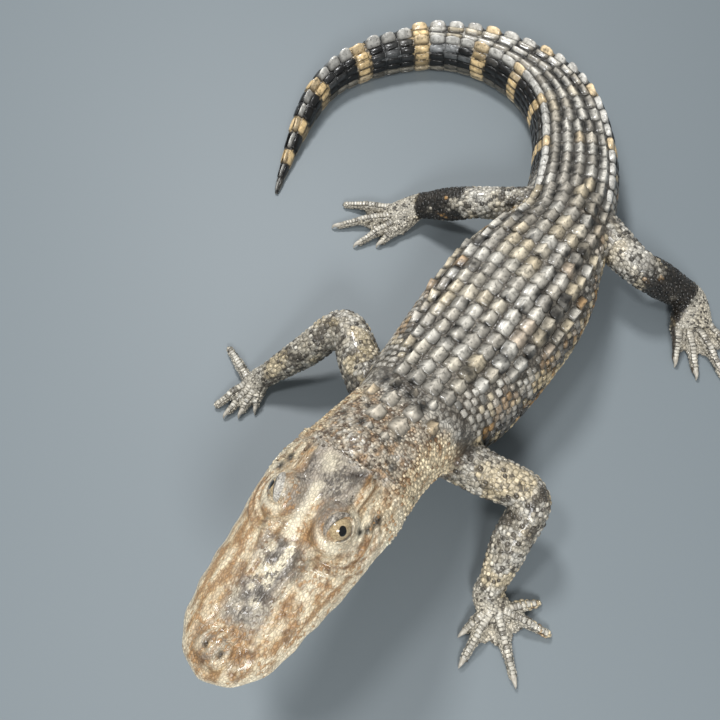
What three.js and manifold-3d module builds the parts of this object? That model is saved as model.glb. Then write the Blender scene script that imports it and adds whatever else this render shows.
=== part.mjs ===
// A young american alligator, life size, as a still display model: it rests on its belly with its head
// held up and level, its limbs sprawled and its tail curled round to its right.
// Millimetres, +Z up. The trunk lies along Y with the snout towards -Y, so the animal's left is +X.
// The whole model stands on the plane z = 0, on flats of the belly, the tail and the four feet.

import * as THREE from "three";
import { mergeVertices } from "three/addons/utils/BufferGeometryUtils.js";
import Module from "manifold-3d";

const wasm = await Module();
wasm.setup();

// Driving dimensions. Distances along the spine are measured from the hips, forwards negative.
const gap = 0.3; // what two nodes that meet keep between them
const napeAt = -265;
const shouldersAt = -203;
const ventAt = 22;
const tailTipAt = 512;
const tailLengths = 5;
const headLength = 129; // snout tip to the back of the skull
const mouthLevel = 97; // height of the line of the mouth above the floor
const headTurn = 0.6; // degrees that the snout points to the animal's left
const originX = -54; // the middle of the model's outline, seen from above
const originY = -112.7;

// Heading of the spine at distances along it: 0 runs straight back, and it grows as the tail turns right.
const spineHeadings = [
  [napeAt, headTurn],
  [-200, 0],
  [-25, 0],
  [0, 11],
  [60, 26],
  [120, 40],
  [180, 72],
  [240, 98],
  [300, 132],
  [360, 156],
  [420, 193],
  [470, 200],
  [tailTipAt, 204],
];

// Distance along the spine, half width, underside and top of the body, without its scutes.
// A negative underside is trimmed to a flat on the floor.
const bodyProfile = [
  [napeAt, 37.5, 74, 120],
  [-240, 36, 62, 112],
  [-215, 37, 41, 100],
  [-190, 42, 17, 91],
  [-165, 47, 3, 84],
  [-130, 51, -3, 78],
  [-85, 53, -4, 76],
  [-55, 50.5, -4, 73.5],
  [-25, 42, -3.5, 70],
  [0, 35.5, -3, 66],
  [40, 34, -3, 58],
  [95, 31, -2.5, 48],
  [150, 28, -2.5, 41],
  [205, 22.5, -2, 36],
  [270, 17, -2, 32],
  [330, 13.5, -2, 30],
  [370, 11, -1.5, 27],
  [420, 8.5, -1, 21],
  [475, 4.5, -1, 10],
  [tailTipAt, 1.2, -0.6, 3.2],
];

const colours = {
  back: 0x8f8a7f,
  head: 0xc2a06c,
  jaw: 0xe3d2ac,
  limb: 0x9a917f,
  tail: 0x3b3733,
  eye: 0xa08c62,
};

const skin = (colour) => new THREE.MeshStandardMaterial({ color: colour, roughness: 0.45, metalness: 0 });
const degrees = THREE.MathUtils.degToRad;

// A smooth curve through keys of [place, value, ...], read at one place. It never swings past a key.
const bothWays = (a, b) => (a * b > 0 ? (2 * a * b) / (a + b) : 0);

function keyed(keys, place, column = 1) {
  const last = keys.length - 1;
  const at = THREE.MathUtils.clamp(place, keys[0][0], keys[last][0]);
  let i = 0;
  while (i < last - 1 && at > keys[i + 1][0]) i++;
  const slope = (a, b) => (keys[b][column] - keys[a][column]) / (keys[b][0] - keys[a][0]);
  const span = keys[i + 1][0] - keys[i][0];
  const here = slope(i, i + 1);
  const before = i > 0 ? bothWays(slope(i - 1, i), here) : here;
  const after = i < last - 1 ? bothWays(here, slope(i + 1, i + 2)) : here;
  const t = (at - keys[i][0]) / span;
  const rise = keys[i + 1][column] - keys[i][column];
  const bend = t * (t - 1) * ((t - 1) * (before - here) + t * (after - here)) * span;
  return keys[i][column] + rise * t + bend;
}

// The spine seen from above, walked a millimetre at a time from the hips.
const spineWalk = new Map([[0, [0, 0]]]);
for (const way of [1, -1]) {
  for (let s = 0; Math.abs(s) <= tailTipAt; s += way) {
    const [x, y] = spineWalk.get(s);
    const heading = degrees(keyed(spineHeadings, s + way / 2));
    spineWalk.set(s + way, [x - way * Math.sin(heading), y + way * Math.cos(heading)]);
  }
}

// The frame of the body at a place on the spine: a point on the floor, and the ways back and left.
function spineFrame(s) {
  const low = Math.floor(s);
  const [x0, y0] = spineWalk.get(low);
  const [x1, y1] = spineWalk.get(low + 1);
  const heading = degrees(keyed(spineHeadings, s));
  return {
    point: new THREE.Vector3(x0 + (x1 - x0) * (s - low), y0 + (y1 - y0) * (s - low), 0),
    back: new THREE.Vector3(-Math.sin(heading), Math.cos(heading), 0),
    left: new THREE.Vector3(Math.cos(heading), Math.sin(heading), 0),
  };
}

// How the section changes from a broad trunk to a tall, flat-topped tail.
const bodyShape = (s) => {
  const tail = THREE.MathUtils.smoothstep(s, 0, 120);
  return {
    girth: 0.43 + 0.09 * tail,
    backPower: 2.35 + 0.5 * tail,
    bellyPower: 2.7,
  };
};

// A point on the body's skin: angle 0 is the animal's left flank, 90 the middle of the back.
function bodyPoint(s, angle, grow = 0) {
  const frame = spineFrame(s);
  const shape = bodyShape(s);
  const under = keyed(bodyProfile, s, 2);
  const top = keyed(bodyProfile, s, 3) + grow;
  const widest = Math.max(under, 0) + (top - Math.max(under, 0)) * shape.girth;
  const power = Math.sin(angle) >= 0 ? shape.backPower : shape.bellyPower;
  const across = Math.sign(Math.cos(angle)) * Math.abs(Math.cos(angle)) ** (2 / power);
  const up = Math.sign(Math.sin(angle)) * Math.abs(Math.sin(angle)) ** (2 / power);
  const rise = up >= 0 ? up * (top - widest) : up * (widest - under + grow);
  const point = frame.point.clone().addScaledVector(frame.left, across * (keyed(bodyProfile, s, 1) + grow));
  point.z = Math.max(widest + rise, 0);
  return point;
}

// A closed skin over rings of points, each ring with the same number of points, with flat ends.
function skinOver(rings) {
  const around = rings[0].length;
  const points = rings.flat();
  const faces = [];
  for (let i = 0; i < rings.length - 1; i++) {
    for (let j = 0; j < around; j++) {
      const k = (j + 1) % around;
      const a = i * around + j;
      const b = i * around + k;
      faces.push(a, b, b + around, a, b + around, a + around);
    }
  }
  for (const [ring, flip] of [[0, true], [rings.length - 1, false]]) {
    const middle = points.length;
    const sum = rings[ring].reduce((total, p) => total.add(p), new THREE.Vector3());
    points.push(sum.divideScalar(around));
    for (let j = 0; j < around; j++) {
      const a = ring * around + j;
      const b = ring * around + ((j + 1) % around);
      faces.push(...(flip ? [middle, b, a] : [middle, a, b]));
    }
  }
  const geometry = new THREE.BufferGeometry().setFromPoints(points);
  geometry.setIndex(faces);
  return geometry;
}

// Solids for the joins and cuts, and back again.
function solidOf(geometry) {
  const bare = new THREE.BufferGeometry().setAttribute("position", geometry.getAttribute("position"));
  bare.setIndex(geometry.index);
  const merged = mergeVertices(bare, 1e-4);
  const index = Array.from(merged.index.array);
  const triVerts = [];
  for (let i = 0; i < index.length; i += 3) {
    const [a, b, c] = index.slice(i, i + 3);
    if (a !== b && b !== c && a !== c) triVerts.push(a, b, c);
  }
  const made = new wasm.Manifold(
    new wasm.Mesh({
      numProp: 3,
      vertProperties: merged.attributes.position.array,
      triVerts: new Uint32Array(triVerts),
    }),
  );
  if (made.volume() > 0) return made;
  for (let i = 0; i < triVerts.length; i += 3) {
    [triVerts[i + 1], triVerts[i + 2]] = [triVerts[i + 2], triVerts[i + 1]];
  }
  return new wasm.Manifold(
    new wasm.Mesh({
      numProp: 3,
      vertProperties: merged.attributes.position.array,
      triVerts: new Uint32Array(triVerts),
    }),
  );
}

const fused = (pieces) => pieces.reduce((whole, piece) => whole.add(piece));
const largest = (solid) => solid.decompose().sort((a, b) => b.volume() - a.volume())[0];

function geometryOf(solid) {
  const mesh = largest(solid).getMesh();
  const geometry = new THREE.BufferGeometry();
  geometry.setAttribute("position", new THREE.BufferAttribute(new Float32Array(mesh.vertProperties), 3));
  geometry.setIndex(new THREE.BufferAttribute(new Uint32Array(mesh.triVerts), 1));
  geometry.computeVertexNormals();
  return geometry;
}

const model = new THREE.Group();
model.position.set(-originX, -originY, 0);

function addNode(parent, name, solid, colour) {
  const mesh = new THREE.Mesh(geometryOf(solid), skin(colour));
  mesh.name = name;
  parent.add(mesh);
}

// A length of the body between two places on the spine, with something over at each end for the cuts.
const spare = 3;

function bodyLength(from, to, steps, around, grow = 0) {
  const rings = [];
  const end = Math.min(to + spare, tailTipAt);
  for (let i = 0; i <= steps; i++) {
    const s = from - spare + ((end - from + spare) * i) / steps;
    const ring = [];
    for (let j = 0; j < around; j++) ring.push(bodyPoint(s, (j * 2 * Math.PI) / around, grow));
    rings.push(ring);
  }
  return solidOf(skinOver(rings));
}

// A keeled plate: a four-sided root sunk in the skin, a rim, and a ridge that rises towards the back.
function keeledPlate(point, along, up, size) {
  const side = new THREE.Vector3().crossVectors(up, along).normalize();
  const out = new THREE.Vector3().crossVectors(along, side).normalize();
  const place = (a, b, c) =>
    point.clone().addScaledVector(along, a).addScaledVector(side, b).addScaledVector(out, c);
  const half = size.length / 2;
  const wide = size.width / 2;
  const corners = [[-1, -1], [1, -1], [1, 1], [-1, 1]];
  const root = corners.map(([a, b]) => place(a * half, b * wide, -size.sunk));
  const rim = corners.map(([a, b]) => place(a * half * 0.94, b * wide * 0.9, size.rim));
  const ridge = [place(-half * 0.7, 0, size.keel * 0.55), place(half * (size.sweep ?? 0.85), 0, size.keel)];
  const geometry = new THREE.BufferGeometry().setFromPoints([...root, ...rim, ...ridge]);
  geometry.setIndex([
    0, 2, 1, 0, 3, 2, 0, 1, 5, 0, 5, 4, 1, 2, 6, 1, 6, 5, 2, 3, 7, 2, 7, 6, 3, 0, 4, 3, 4, 7,
    4, 5, 9, 4, 9, 8, 5, 6, 9, 6, 7, 8, 6, 8, 9, 7, 4, 8,
  ]);
  return solidOf(geometry);
}

// Scutes of the back: transverse rows of keeled plates, more of them across the ribs than at either end.
const backRows = {
  first: -178,
  pitch: 11.2,
  across: [2, 4, 4, 6, 6, 8, 8, 8, 8, 8, 8, 8, 6, 6, 6, 4, 4, 4],
};
const backScute = { width: 10.4, step: 11.4, rim: 0.9, keel: 3.1, sunk: 2.4 };

// The point of the back at a distance round the skin from its middle, found by walking the section.
function overBack(s, distance) {
  let angle = Math.PI / 2;
  let walked = 0;
  let here = bodyPoint(s, angle);
  const way = distance > 0 ? -1 : 1;
  while (walked < Math.abs(distance)) {
    angle += way * 0.01;
    const next = bodyPoint(s, angle);
    walked += next.distanceTo(here);
    here = next;
  }
  const along = bodyPoint(s + 2, angle).sub(bodyPoint(s - 2, angle)).normalize();
  const round = bodyPoint(s, angle - 0.05).sub(bodyPoint(s, angle + 0.05)).normalize();
  return { point: here, along, up: new THREE.Vector3().crossVectors(round, along).normalize() };
}

function backScutes() {
  const plates = [];
  backRows.across.forEach((count, row) => {
    const s = backRows.first + row * backRows.pitch;
    for (let i = 0; i < count; i++) {
      const place = i - (count - 1) / 2;
      const spot = overBack(s, place * backScute.step * (count > 6 ? 0.97 : 1));
      const outer = Math.abs(place) > 3 ? 0.85 : 1;
      plates.push(
        keeledPlate(spot.point, spot.along, spot.up, {
          ...backScute,
          length: backRows.pitch * 0.9 * outer,
          width: backScute.width * outer,
          keel: backScute.keel * (Math.abs(place) > 1 ? 1.12 : 0.95),
        }),
      );
    }
  });
  return plates;
}

// The neck shield: two pairs of large plates behind the skull, with a smaller plate at each side.
function neckScutes() {
  const rows = [
    { s: -228, places: [-8, 8], size: 13 },
    { s: -213, places: [-22, -8, 8, 22], size: 13 },
  ];
  return rows.flatMap(({ s, places, size }) =>
    places.map((place) => {
      const spot = overBack(s, place);
      const small = Math.abs(place) > 10 ? 0.75 : 1;
      return keeledPlate(spot.point, spot.along, spot.up, {
        length: size * small,
        width: size * small,
        rim: 1.2,
        keel: 4.2 * small,
        sunk: 2.6,
      });
    }),
  );
}

// The tail's crest: a pair of upright keels on each ring of scales, which meet in a single crest half way.
const crest = { first: 42, pitch: 12.5, single: 300, paired: 7, tallest: 11 };

function tailCrest(from, to) {
  const plates = [];
  for (let s = crest.first; s < tailTipAt - 24; s += crest.pitch) {
    if (s < from + 1 || s > to - 1) continue;
    const tapered = 1 - 0.7 * THREE.MathUtils.smoothstep(s, 360, tailTipAt);
    const paired = crest.paired * THREE.MathUtils.smoothstep(s, -60, 200);
    const height = s < crest.single ? paired : crest.tallest * tapered;
    const halfWidth = keyed(bodyProfile, s, 1);
    const places = s < crest.single ? [-halfWidth * 0.62, halfWidth * 0.62] : [0];
    const room = Math.min(crest.pitch, 2 * (s - from - gap), 2 * (to - gap - s)) * 0.94;
    for (const place of places) {
      const spot = overBack(s, place);
      const lean = spot.up.clone().lerp(new THREE.Vector3(0, 0, 1), 0.6).normalize();
      plates.push(
        keeledPlate(spot.point, spot.along, lean, {
          length: room,
          width: Math.min(halfWidth * 0.55, 7),
          rim: height * 0.22,
          keel: height,
          sunk: Math.min(2.4, keyed(bodyProfile, s, 3) * 0.2),
          sweep: 0.92,
        }),
      );
    }
  }
  return plates;
}

// A limb's length: an oval tube through points with a radius at each, its ends cut square to the limb.
function tubeThrough(points, radii, around, stepsEach, flat = 1) {
  const curve = new THREE.CatmullRomCurve3(points, false, "centripetal");
  const steps = (points.length - 1) * stepsEach;
  const rings = [];
  for (let i = 0; i <= steps; i++) {
    const t = i / steps;
    const at = Math.min(Math.floor(t * (points.length - 1)), points.length - 2);
    const share = t * (points.length - 1) - at;
    const radius = radii[at] + (radii[at + 1] - radii[at]) * share;
    const centre = curve.getPoint(t);
    const tangent = curve.getTangent(t);
    const side = new THREE.Vector3(0, 0, 1).cross(tangent).normalize();
    const up = new THREE.Vector3().crossVectors(tangent, side).normalize();
    const ring = [];
    for (let j = 0; j < around; j++) {
      const angle = (j * 2 * Math.PI) / around;
      const p = centre.clone().addScaledVector(side, radius * Math.cos(angle));
      ring.push(p.addScaledVector(up, radius * flat * Math.sin(angle)));
    }
    rings.push(ring);
  }
  return solidOf(skinOver(rings));
}

// A block with one face square to a direction, an offset past a point: it cuts away all beyond.
function blockBeyond(point, direction, offset) {
  const size = 320;
  const box = new THREE.BoxGeometry(size, size, size);
  const turn = new THREE.Quaternion().setFromUnitVectors(new THREE.Vector3(0, 0, 1), direction);
  box.applyQuaternion(turn);
  const centre = point.clone().addScaledVector(direction, offset + size / 2);
  box.translate(centre.x, centre.y, centre.z);
  return solidOf(box);
}

// Trims a length of the body, plates and all, to the square cuts at its two ends.
function betweenCuts(solid, from, to) {
  const start = spineFrame(from);
  const end = spineFrame(to);
  const ahead = blockBeyond(start.point, start.back.clone().negate(), -gap / 2);
  const behind = blockBeyond(end.point, end.back, -gap / 2);
  return to < tailTipAt ? solid.subtract(ahead).subtract(behind) : solid.subtract(ahead);
}

const P = (x, y, z) => new THREE.Vector3(x, y, z);

// Joints of the four limbs, the radius at each, and the tip of each digit in order from the inner side.
// The first three digits of every foot carry claws.
const limbs = {
  left_fore: {
    root: P(22, -205, 50),
    bend: P(87, -199, 42),
    end: P(94, -250, 12),
    radii: [16, 12.5, 12, 8.5],
    palm: 11,
    tips: [P(93, -286, 3), P(103, -301, 3), P(137, -291, 3), P(138, -253, 3), P(123, -240, 3)],
    claws: 3,
    webs: [1, 2],
  },
  right_fore: {
    root: P(-24, -200, 50),
    bend: P(-80, -165, 44),
    end: P(-116, -214, 12),
    radii: [17, 12.5, 11, 8],
    palm: 11,
    tips: [P(-108, -240, 3), P(-116, -249, 3), P(-125, -255, 3), P(-135, -251, 3), P(-158, -209, 3)],
    claws: 3,
    webs: [1, 2],
  },
  left_hind: {
    root: P(12, 16, 38),
    bend: P(61, -1, 36),
    end: P(97, 11, 15),
    radii: [16, 12.5, 13, 11],
    palm: 15.5,
    tips: [P(119, -39, 3), P(136, -40, 3), P(154, -31, 3), P(158, -10, 3)],
    claws: 3,
    webs: [0, 1, 2],
  },
  right_hind: {
    root: P(-16, 10, 38),
    bend: P(-63, -13, 36),
    end: P(-106, -24, 15),
    radii: [15, 11.5, 12.5, 10],
    palm: 15,
    tips: [P(-121, -71, 3), P(-136, -81, 3), P(-162, -75, 3), P(-167, -51, 3)],
    claws: 3,
    webs: [0, 1, 2],
  },
};

function limbNodes(name, limb, trunk) {
  const { root, bend, end, radii } = limb;
  const upperWay = bend.clone().sub(root).normalize();
  const lowerWay = end.clone().sub(bend).normalize();
  const cut = upperWay.clone().add(lowerWay).normalize();
  const middle = root.clone().lerp(bend, 0.5);
  const shin = bend.clone().lerp(end, 0.5);
  const past = end.clone().addScaledVector(lowerWay, 4);
  const whole = tubeThrough(
    [root, middle, bend, shin, end, past],
    [radii[0], (radii[0] + radii[1]) / 2, radii[1], radii[2], radii[3], radii[3]],
    10,
    2,
  );
  const upper = whole.subtract(blockBeyond(bend, cut, -gap / 2)).subtract(trunk);
  const lower = whole
    .subtract(blockBeyond(bend, cut.clone().negate(), -gap / 2))
    .subtract(blockBeyond(end, lowerWay, -gap / 2));
  const names = name.endsWith("fore") ? ["upper_arm", "forearm", "hand"] : ["thigh", "shank", "foot"];
  const side = name.split("_")[0];
  addNode(model, names[0] + "_" + side, upper, colours.limb);
  addNode(model, names[1] + "_" + side, lower, colours.limb);
  const ahead = blockBeyond(end, lowerWay.clone().negate(), -gap / 2);
  const ground = blockBeyond(P(end.x, end.y, 0), P(0, 0, -1), 0);
  const extremity = foot(limb, lowerWay).subtract(ahead).subtract(ground);
  addNode(model, names[2] + "_" + side, extremity, colours.limb);
}

// A foot: a sole, arched digits with claws on the first three, and webs between the digits.
function foot(limb, way) {
  const heel = limb.end;
  const flatWay = P(way.x, way.y, 0).normalize();
  const mean = limb.tips.reduce((sum, tip) => sum.add(tip), P(0, 0, 0)).divideScalar(limb.tips.length);
  const forward = mean.clone().sub(heel).setZ(0).normalize();
  const across = P(-forward.y, forward.x, 0);
  const reach = mean.clone().sub(heel).setZ(0).length();
  const sole = heel.clone().addScaledVector(forward, reach * 0.42).setZ(4);
  const start = heel.clone().addScaledVector(way, -3);
  const wrist = heel.clone().addScaledVector(flatWay, 5).setZ(Math.max(start.z - 4, 5));
  const widths = [limb.radii[3], limb.radii[3] + 1, limb.palm];
  const pieces = [tubeThrough([start, wrist, sole], widths, 10, 2, 0.62)];
  const count = limb.tips.length;
  const knuckles = limb.tips.map((tip, i) => {
    const order = (i - (count - 1) / 2) / ((count - 1) / 2);
    const sideways = Math.sign(across.dot(limb.tips[count - 1].clone().sub(limb.tips[0])));
    return sole.clone().addScaledVector(across, sideways * order * limb.palm * 0.72).setZ(5);
  });
  limb.tips.forEach((tip, i) => {
    const base = knuckles[i];
    const out = tip.clone().sub(base).setZ(0).normalize();
    const clawed = i < limb.claws;
    const end = clawed ? tip.clone().addScaledVector(out, -6.5) : tip.clone().addScaledVector(out, -1.5);
    const knee = base.clone().lerp(end, 0.5).setZ(5.6);
    pieces.push(tubeThrough([base, knee, end.clone().setZ(2.6)], [4.4, 3.5, 2.3], 6, 2));
    if (clawed) {
      const root = end.clone().addScaledVector(out, -2).setZ(3);
      const middle = end.clone().addScaledVector(out, 3).setZ(3.4);
      pieces.push(tubeThrough([root, middle, tip.clone().setZ(0.7)], [1.9, 1.4, 0.35], 5, 1));
    }
  });
  for (const i of limb.webs) {
    pieces.push(web(knuckles[i], knuckles[i + 1], limb.tips[i], limb.tips[i + 1], sole));
  }
  return fused(pieces);
}

// A web: a thin sheet between two digits that runs a little past the middle of each, with its free
// edge drawn in.
function web(kneeA, kneeB, tipA, tipB, sole) {
  const reach = 0.52;
  const a = kneeA.clone().lerp(tipA, reach);
  const b = kneeB.clone().lerp(tipB, reach);
  const middle = a.clone().lerp(b, 0.5).lerp(sole, 0.3);
  const past = b.clone().sub(a).normalize();
  const sideA = [kneeA.clone(), a].map((p) => p.clone().addScaledVector(past, -1.1));
  const sideB = [b, kneeB.clone()].map((p) => p.clone().addScaledVector(past, 0.8));
  const outline = [...sideA, middle, ...sideB];
  const low = outline.map((p) => p.clone().setZ(1.2));
  const high = outline.map((p) => p.clone().setZ(2.8));
  const geometry = new THREE.BufferGeometry().setFromPoints([...low, ...high]);
  const faces = [];
  for (let i = 0; i < 5; i++) {
    const k = (i + 1) % 5;
    faces.push(i, k, k + 5, i, k + 5, i + 5);
  }
  const fan = [0, 1, 2, 0, 2, 4, 2, 3, 4];
  for (let i = 0; i < fan.length; i += 3) {
    faces.push(fan[i], fan[i + 2], fan[i + 1], fan[i] + 5, fan[i + 1] + 5, fan[i + 2] + 5);
  }
  geometry.setIndex(faces);
  return solidOf(geometry);
}

// The head has its own frame: x to the animal's right, y forwards from the back of the skull, z up from
// the line of the mouth. Each key is a distance forwards and a size there.
const headWidth = [
  [0, 38.5], [12, 40], [30, 39], [61, 35.5], [78, 33.2], [92, 31.2], [105, 28.4], [113, 25], [120, 19.8],
  [125, 14], [headLength, 4.5],
];
const headHeight = [
  [0, 24], [22, 23.5], [48, 20.5], [62, 17.5], [80, 15], [105, 13], [118, 11.5], [headLength, 5],
];
const jawDepth = [[0, 24], [25, 21], [60, 15], [95, 11.5], [118, 8.5], [headLength, 3.5]];
const mouthLine = [[0, -3], [14, 0], [34, 2.4], [58, -1.6], [84, 1.2], [104, -0.8], [headLength, 0.6]];
const skullTable = { from: -1, to: 36, front: 12, back: 17.5, height: 29 };
const orbit = { x: 14.5, y: 33, z: 12, wide: 13.5, long: 19, tall: 21 };
const eyeball = { x: 16.9, y: 33, z: 26, radius: 7.6 };
const lidThickness = 1.9;
const lidOpening = { out: 8.6, deep: 6, long: 7.4, high: 5, tilt: 47 };
const nares = { y: 114, wide: 13, long: 10.5, tall: 15.6, apart: 5.2 };
const nostril = { radius: 1.9, long: 2.85, deep: 2.6, level: 15.8 };

// The upper head is a low face with rounded sides; a power over 2 squares its shoulders off.
function headPoint(y, angle) {
  const half = keyed(headWidth, y);
  const line = keyed(mouthLine, y);
  const power = 2.5;
  const across = Math.sign(Math.cos(angle)) * Math.abs(Math.cos(angle)) ** (2 / power);
  const up = Math.abs(Math.sin(angle)) ** (2 / 1.9);
  return P(across * half, y, line + up * (keyed(headHeight, y) - line));
}

// Stations along the head, closer together towards the snout, shared by all that meets at the mouth.
const stations = Array.from({ length: 17 }, (_, i) => headLength * (1 - (1 - i / 16) ** 1.35));

function upperHead() {
  const rings = [];
  for (const y of stations) {
    const ring = [];
    for (let j = 0; j <= 14; j++) ring.push(headPoint(y, (j * Math.PI) / 14));
    const half = keyed(headWidth, y);
    for (const share of [0.6, -0.6]) ring.push(P(-share * half, y, keyed(mouthLine, y) + 0.5));
    rings.push(ring);
  }
  return solidOf(skinOver(rings));
}

// All that lies below the line of the mouth, to keep the upper head's bulges out of the jaw.
function belowMouth() {
  const rings = [];
  for (const y of [-5, ...stations, headLength + 5]) {
    const line = keyed(mouthLine, y) - gap / 6;
    rings.push([P(60, y, line), P(-60, y, line), P(-60, y, -60), P(60, y, -60)]);
  }
  return solidOf(skinOver(rings));
}

function lowerJaw() {
  const rings = [];
  for (const station of stations) {
    const y = Math.min(station, headLength - 1.2);
    const half = keyed(headWidth, y) - 1.4;
    const line = keyed(mouthLine, y) - gap;
    const ring = [];
    for (let j = 0; j <= 10; j++) {
      const angle = Math.PI + (j * Math.PI) / 10;
      const across = Math.sign(Math.cos(angle)) * Math.abs(Math.cos(angle)) ** (2 / 2.6);
      ring.push(P(across * half, y, line - Math.abs(Math.sin(angle)) ** (2 / 2.2) * keyed(jawDepth, y)));
    }
    for (const share of [0.6, -0.6]) ring.push(P(share * half, y, line + 0.5 - gap));
    rings.push(ring);
  }
  return solidOf(skinOver(rings));
}

function ellipsoid(x, y, z, wide, long, tall, across = 14, up = 9) {
  const geometry = new THREE.SphereGeometry(1, across, up);
  geometry.deleteAttribute("normal");
  geometry.deleteAttribute("uv");
  geometry.rotateX(Math.PI / 2);
  geometry.scale(wide, long, tall);
  geometry.translate(x, y, z);
  return solidOf(geometry);
}

// The flat plate over the back of the skull, broader behind, with a sharp rim over each ear.
function tableOfSkull() {
  const rings = [];
  for (const [share, drop] of [[0, 0], [0.5, 0.4], [1, 1.6]]) {
    const y = skullTable.from + (skullTable.to - skullTable.from) * share;
    const half = skullTable.back + (skullTable.front - skullTable.back) * share;
    const top = skullTable.height - drop;
    rings.push([
      P(half, y, top - 2.2), P(half * 0.9, y, top), P(0, y, top + 0.5), P(-half * 0.9, y, top),
      P(-half, y, top - 2.2), P(-half * 0.93, y, 12), P(half * 0.93, y, 12),
    ]);
  }
  return solidOf(skinOver(rings));
}

function headNodes() {
  const head = new THREE.Group();
  const nape = spineFrame(napeAt).point;
  head.position.set(nape.x, nape.y, mouthLevel);
  head.rotation.z = degrees(180 + headTurn);
  model.add(head);
  const backFace = blockBeyond(P(0, gap, 0), P(0, -1, 0), 0);
  const upper = [upperHead(), tableOfSkull()];
  for (const side of [1, -1]) {
    upper.push(ellipsoid(side * orbit.x, orbit.y, orbit.z, orbit.wide, orbit.long, orbit.tall));
    const lids = eyeball.radius + lidThickness;
    upper.push(ellipsoid(side * eyeball.x, eyeball.y, eyeball.z, lids, lids * 1.15, lids));
  }
  upper.push(ellipsoid(0, nares.y, 8, nares.wide, nares.long, nares.tall - 8, 12, 7));
  let whole = fused(upper).subtract(belowMouth());
  for (const side of [1, -1]) {
    const socket = eyeball.radius + gap;
    whole = whole.subtract(ellipsoid(side * eyeball.x, eyeball.y, eyeball.z, socket, socket, socket));
    whole = whole.subtract(slitBetweenLids(side));
    const { radius: bore, long, deep, level } = nostril;
    whole = whole.subtract(ellipsoid(side * nares.apart, nares.y + 1, level, bore, long, deep, 8, 5));
    whole = whole.subtract(earSlot(side, gap));
    const name = side > 0 ? "right" : "left";
    const { x, y, z, radius } = eyeball;
    addNode(head, "eye_" + name, ellipsoid(side * x, y, z, radius, radius, radius, 14, 10), colours.eye);
    addNode(head, "ear_flap_" + name, earSlot(side, 0), colours.head);
  }
  addNode(head, "head", whole.subtract(backFace), colours.head);
  addNode(head, "lower_jaw", lowerJaw().subtract(backFace), colours.jaw);
}

// The opening between the lids: a long hollow that looks outwards and up.
function slitBetweenLids(side) {
  const { out, deep, long, high, tilt } = lidOpening;
  const opening = ellipsoid(0, 0, 0, deep, long, high, 10, 7).rotate([0, -side * tilt, 0]);
  const sideways = side * (eyeball.x + out * Math.cos(degrees(tilt)));
  return opening.translate([sideways, eyeball.y, eyeball.z + out * Math.sin(degrees(tilt))]);
}

// The ear flap lies along the side of the skull behind the eye, under the rim of its flat top.
function earSlot(side, grow) {
  const rings = [];
  for (const [y, x] of [[3, 18], [12, 17.5], [21, 16.6]]) {
    const thick = 1.3 + grow;
    const low = 18.5 - grow;
    const high = 25.2 + grow;
    const end = (y - 12) / 9;
    const pull = end * grow;
    rings.push([
      P(side * (x + thick + 1.2), y + pull, low), P(side * (x + thick), y + pull, high),
      P(side * (x - thick), y + pull, high), P(side * (x - thick), y + pull, low),
    ]);
  }
  return solidOf(skinOver(rings));
}

// The body is one skin, parted by thin square cuts into neck, torso and five lengths of tail.
const lengths = [
  {
    name: "neck", from: napeAt, to: shouldersAt,
    steps: 5, around: 18, plates: neckScutes, colour: colours.back,
  },
  {
    name: "torso", from: shouldersAt, to: ventAt,
    steps: 15, around: 22, plates: backScutes, colour: colours.back,
  },
];
for (let i = 0; i < tailLengths; i++) {
  const from = ventAt + ((tailTipAt - ventAt) * i) / tailLengths;
  const to = ventAt + ((tailTipAt - ventAt) * (i + 1)) / tailLengths;
  const plates = () => tailCrest(from, to);
  const around = i < 2 ? 14 : 12;
  lengths.push({ name: "tail_" + (i + 1), from, to, steps: 7, around, plates, colour: colours.tail });
}
for (const { name, from, to, steps, around, plates, colour } of lengths) {
  const bare = bodyLength(from, to, steps, around);
  addNode(model, name, betweenCuts(fused([bare, ...plates()]), from, to), colour);
}

const trunk = lengths.slice(0, 3);
const trunkWithGap = fused(
  trunk.map(({ from, to, steps, around }) => bodyLength(from, to, steps, around, gap + 0.05)),
);
for (const [name, limb] of Object.entries(limbs)) limbNodes(name, limb, trunkWithGap);
headNodes();

export default model;
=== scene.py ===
# A young american alligator as a life-size display model: one skin over the CAD pose, with its scutes,
# scales, lids, eyes and claws as pieces of their own.
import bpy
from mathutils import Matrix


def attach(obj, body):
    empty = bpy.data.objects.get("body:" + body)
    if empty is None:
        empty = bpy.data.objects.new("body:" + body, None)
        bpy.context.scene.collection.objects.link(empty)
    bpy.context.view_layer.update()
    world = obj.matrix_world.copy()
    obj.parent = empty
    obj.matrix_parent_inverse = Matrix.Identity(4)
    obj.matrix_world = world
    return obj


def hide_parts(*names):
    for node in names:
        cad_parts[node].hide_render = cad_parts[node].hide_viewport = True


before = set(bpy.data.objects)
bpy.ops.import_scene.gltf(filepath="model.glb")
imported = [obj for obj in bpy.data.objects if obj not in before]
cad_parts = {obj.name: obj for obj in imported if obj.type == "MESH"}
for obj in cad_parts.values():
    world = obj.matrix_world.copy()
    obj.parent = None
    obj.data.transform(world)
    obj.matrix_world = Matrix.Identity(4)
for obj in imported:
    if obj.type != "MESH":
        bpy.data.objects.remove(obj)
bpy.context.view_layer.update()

import math
import bpy
import numpy as np
from mathutils import Matrix, Vector
from mathutils.bvhtree import BVHTree
from mathutils.kdtree import KDTree

mm = 0.001  # all tables below are in millimetres, measured from the hips, with the snout towards -Y

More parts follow.
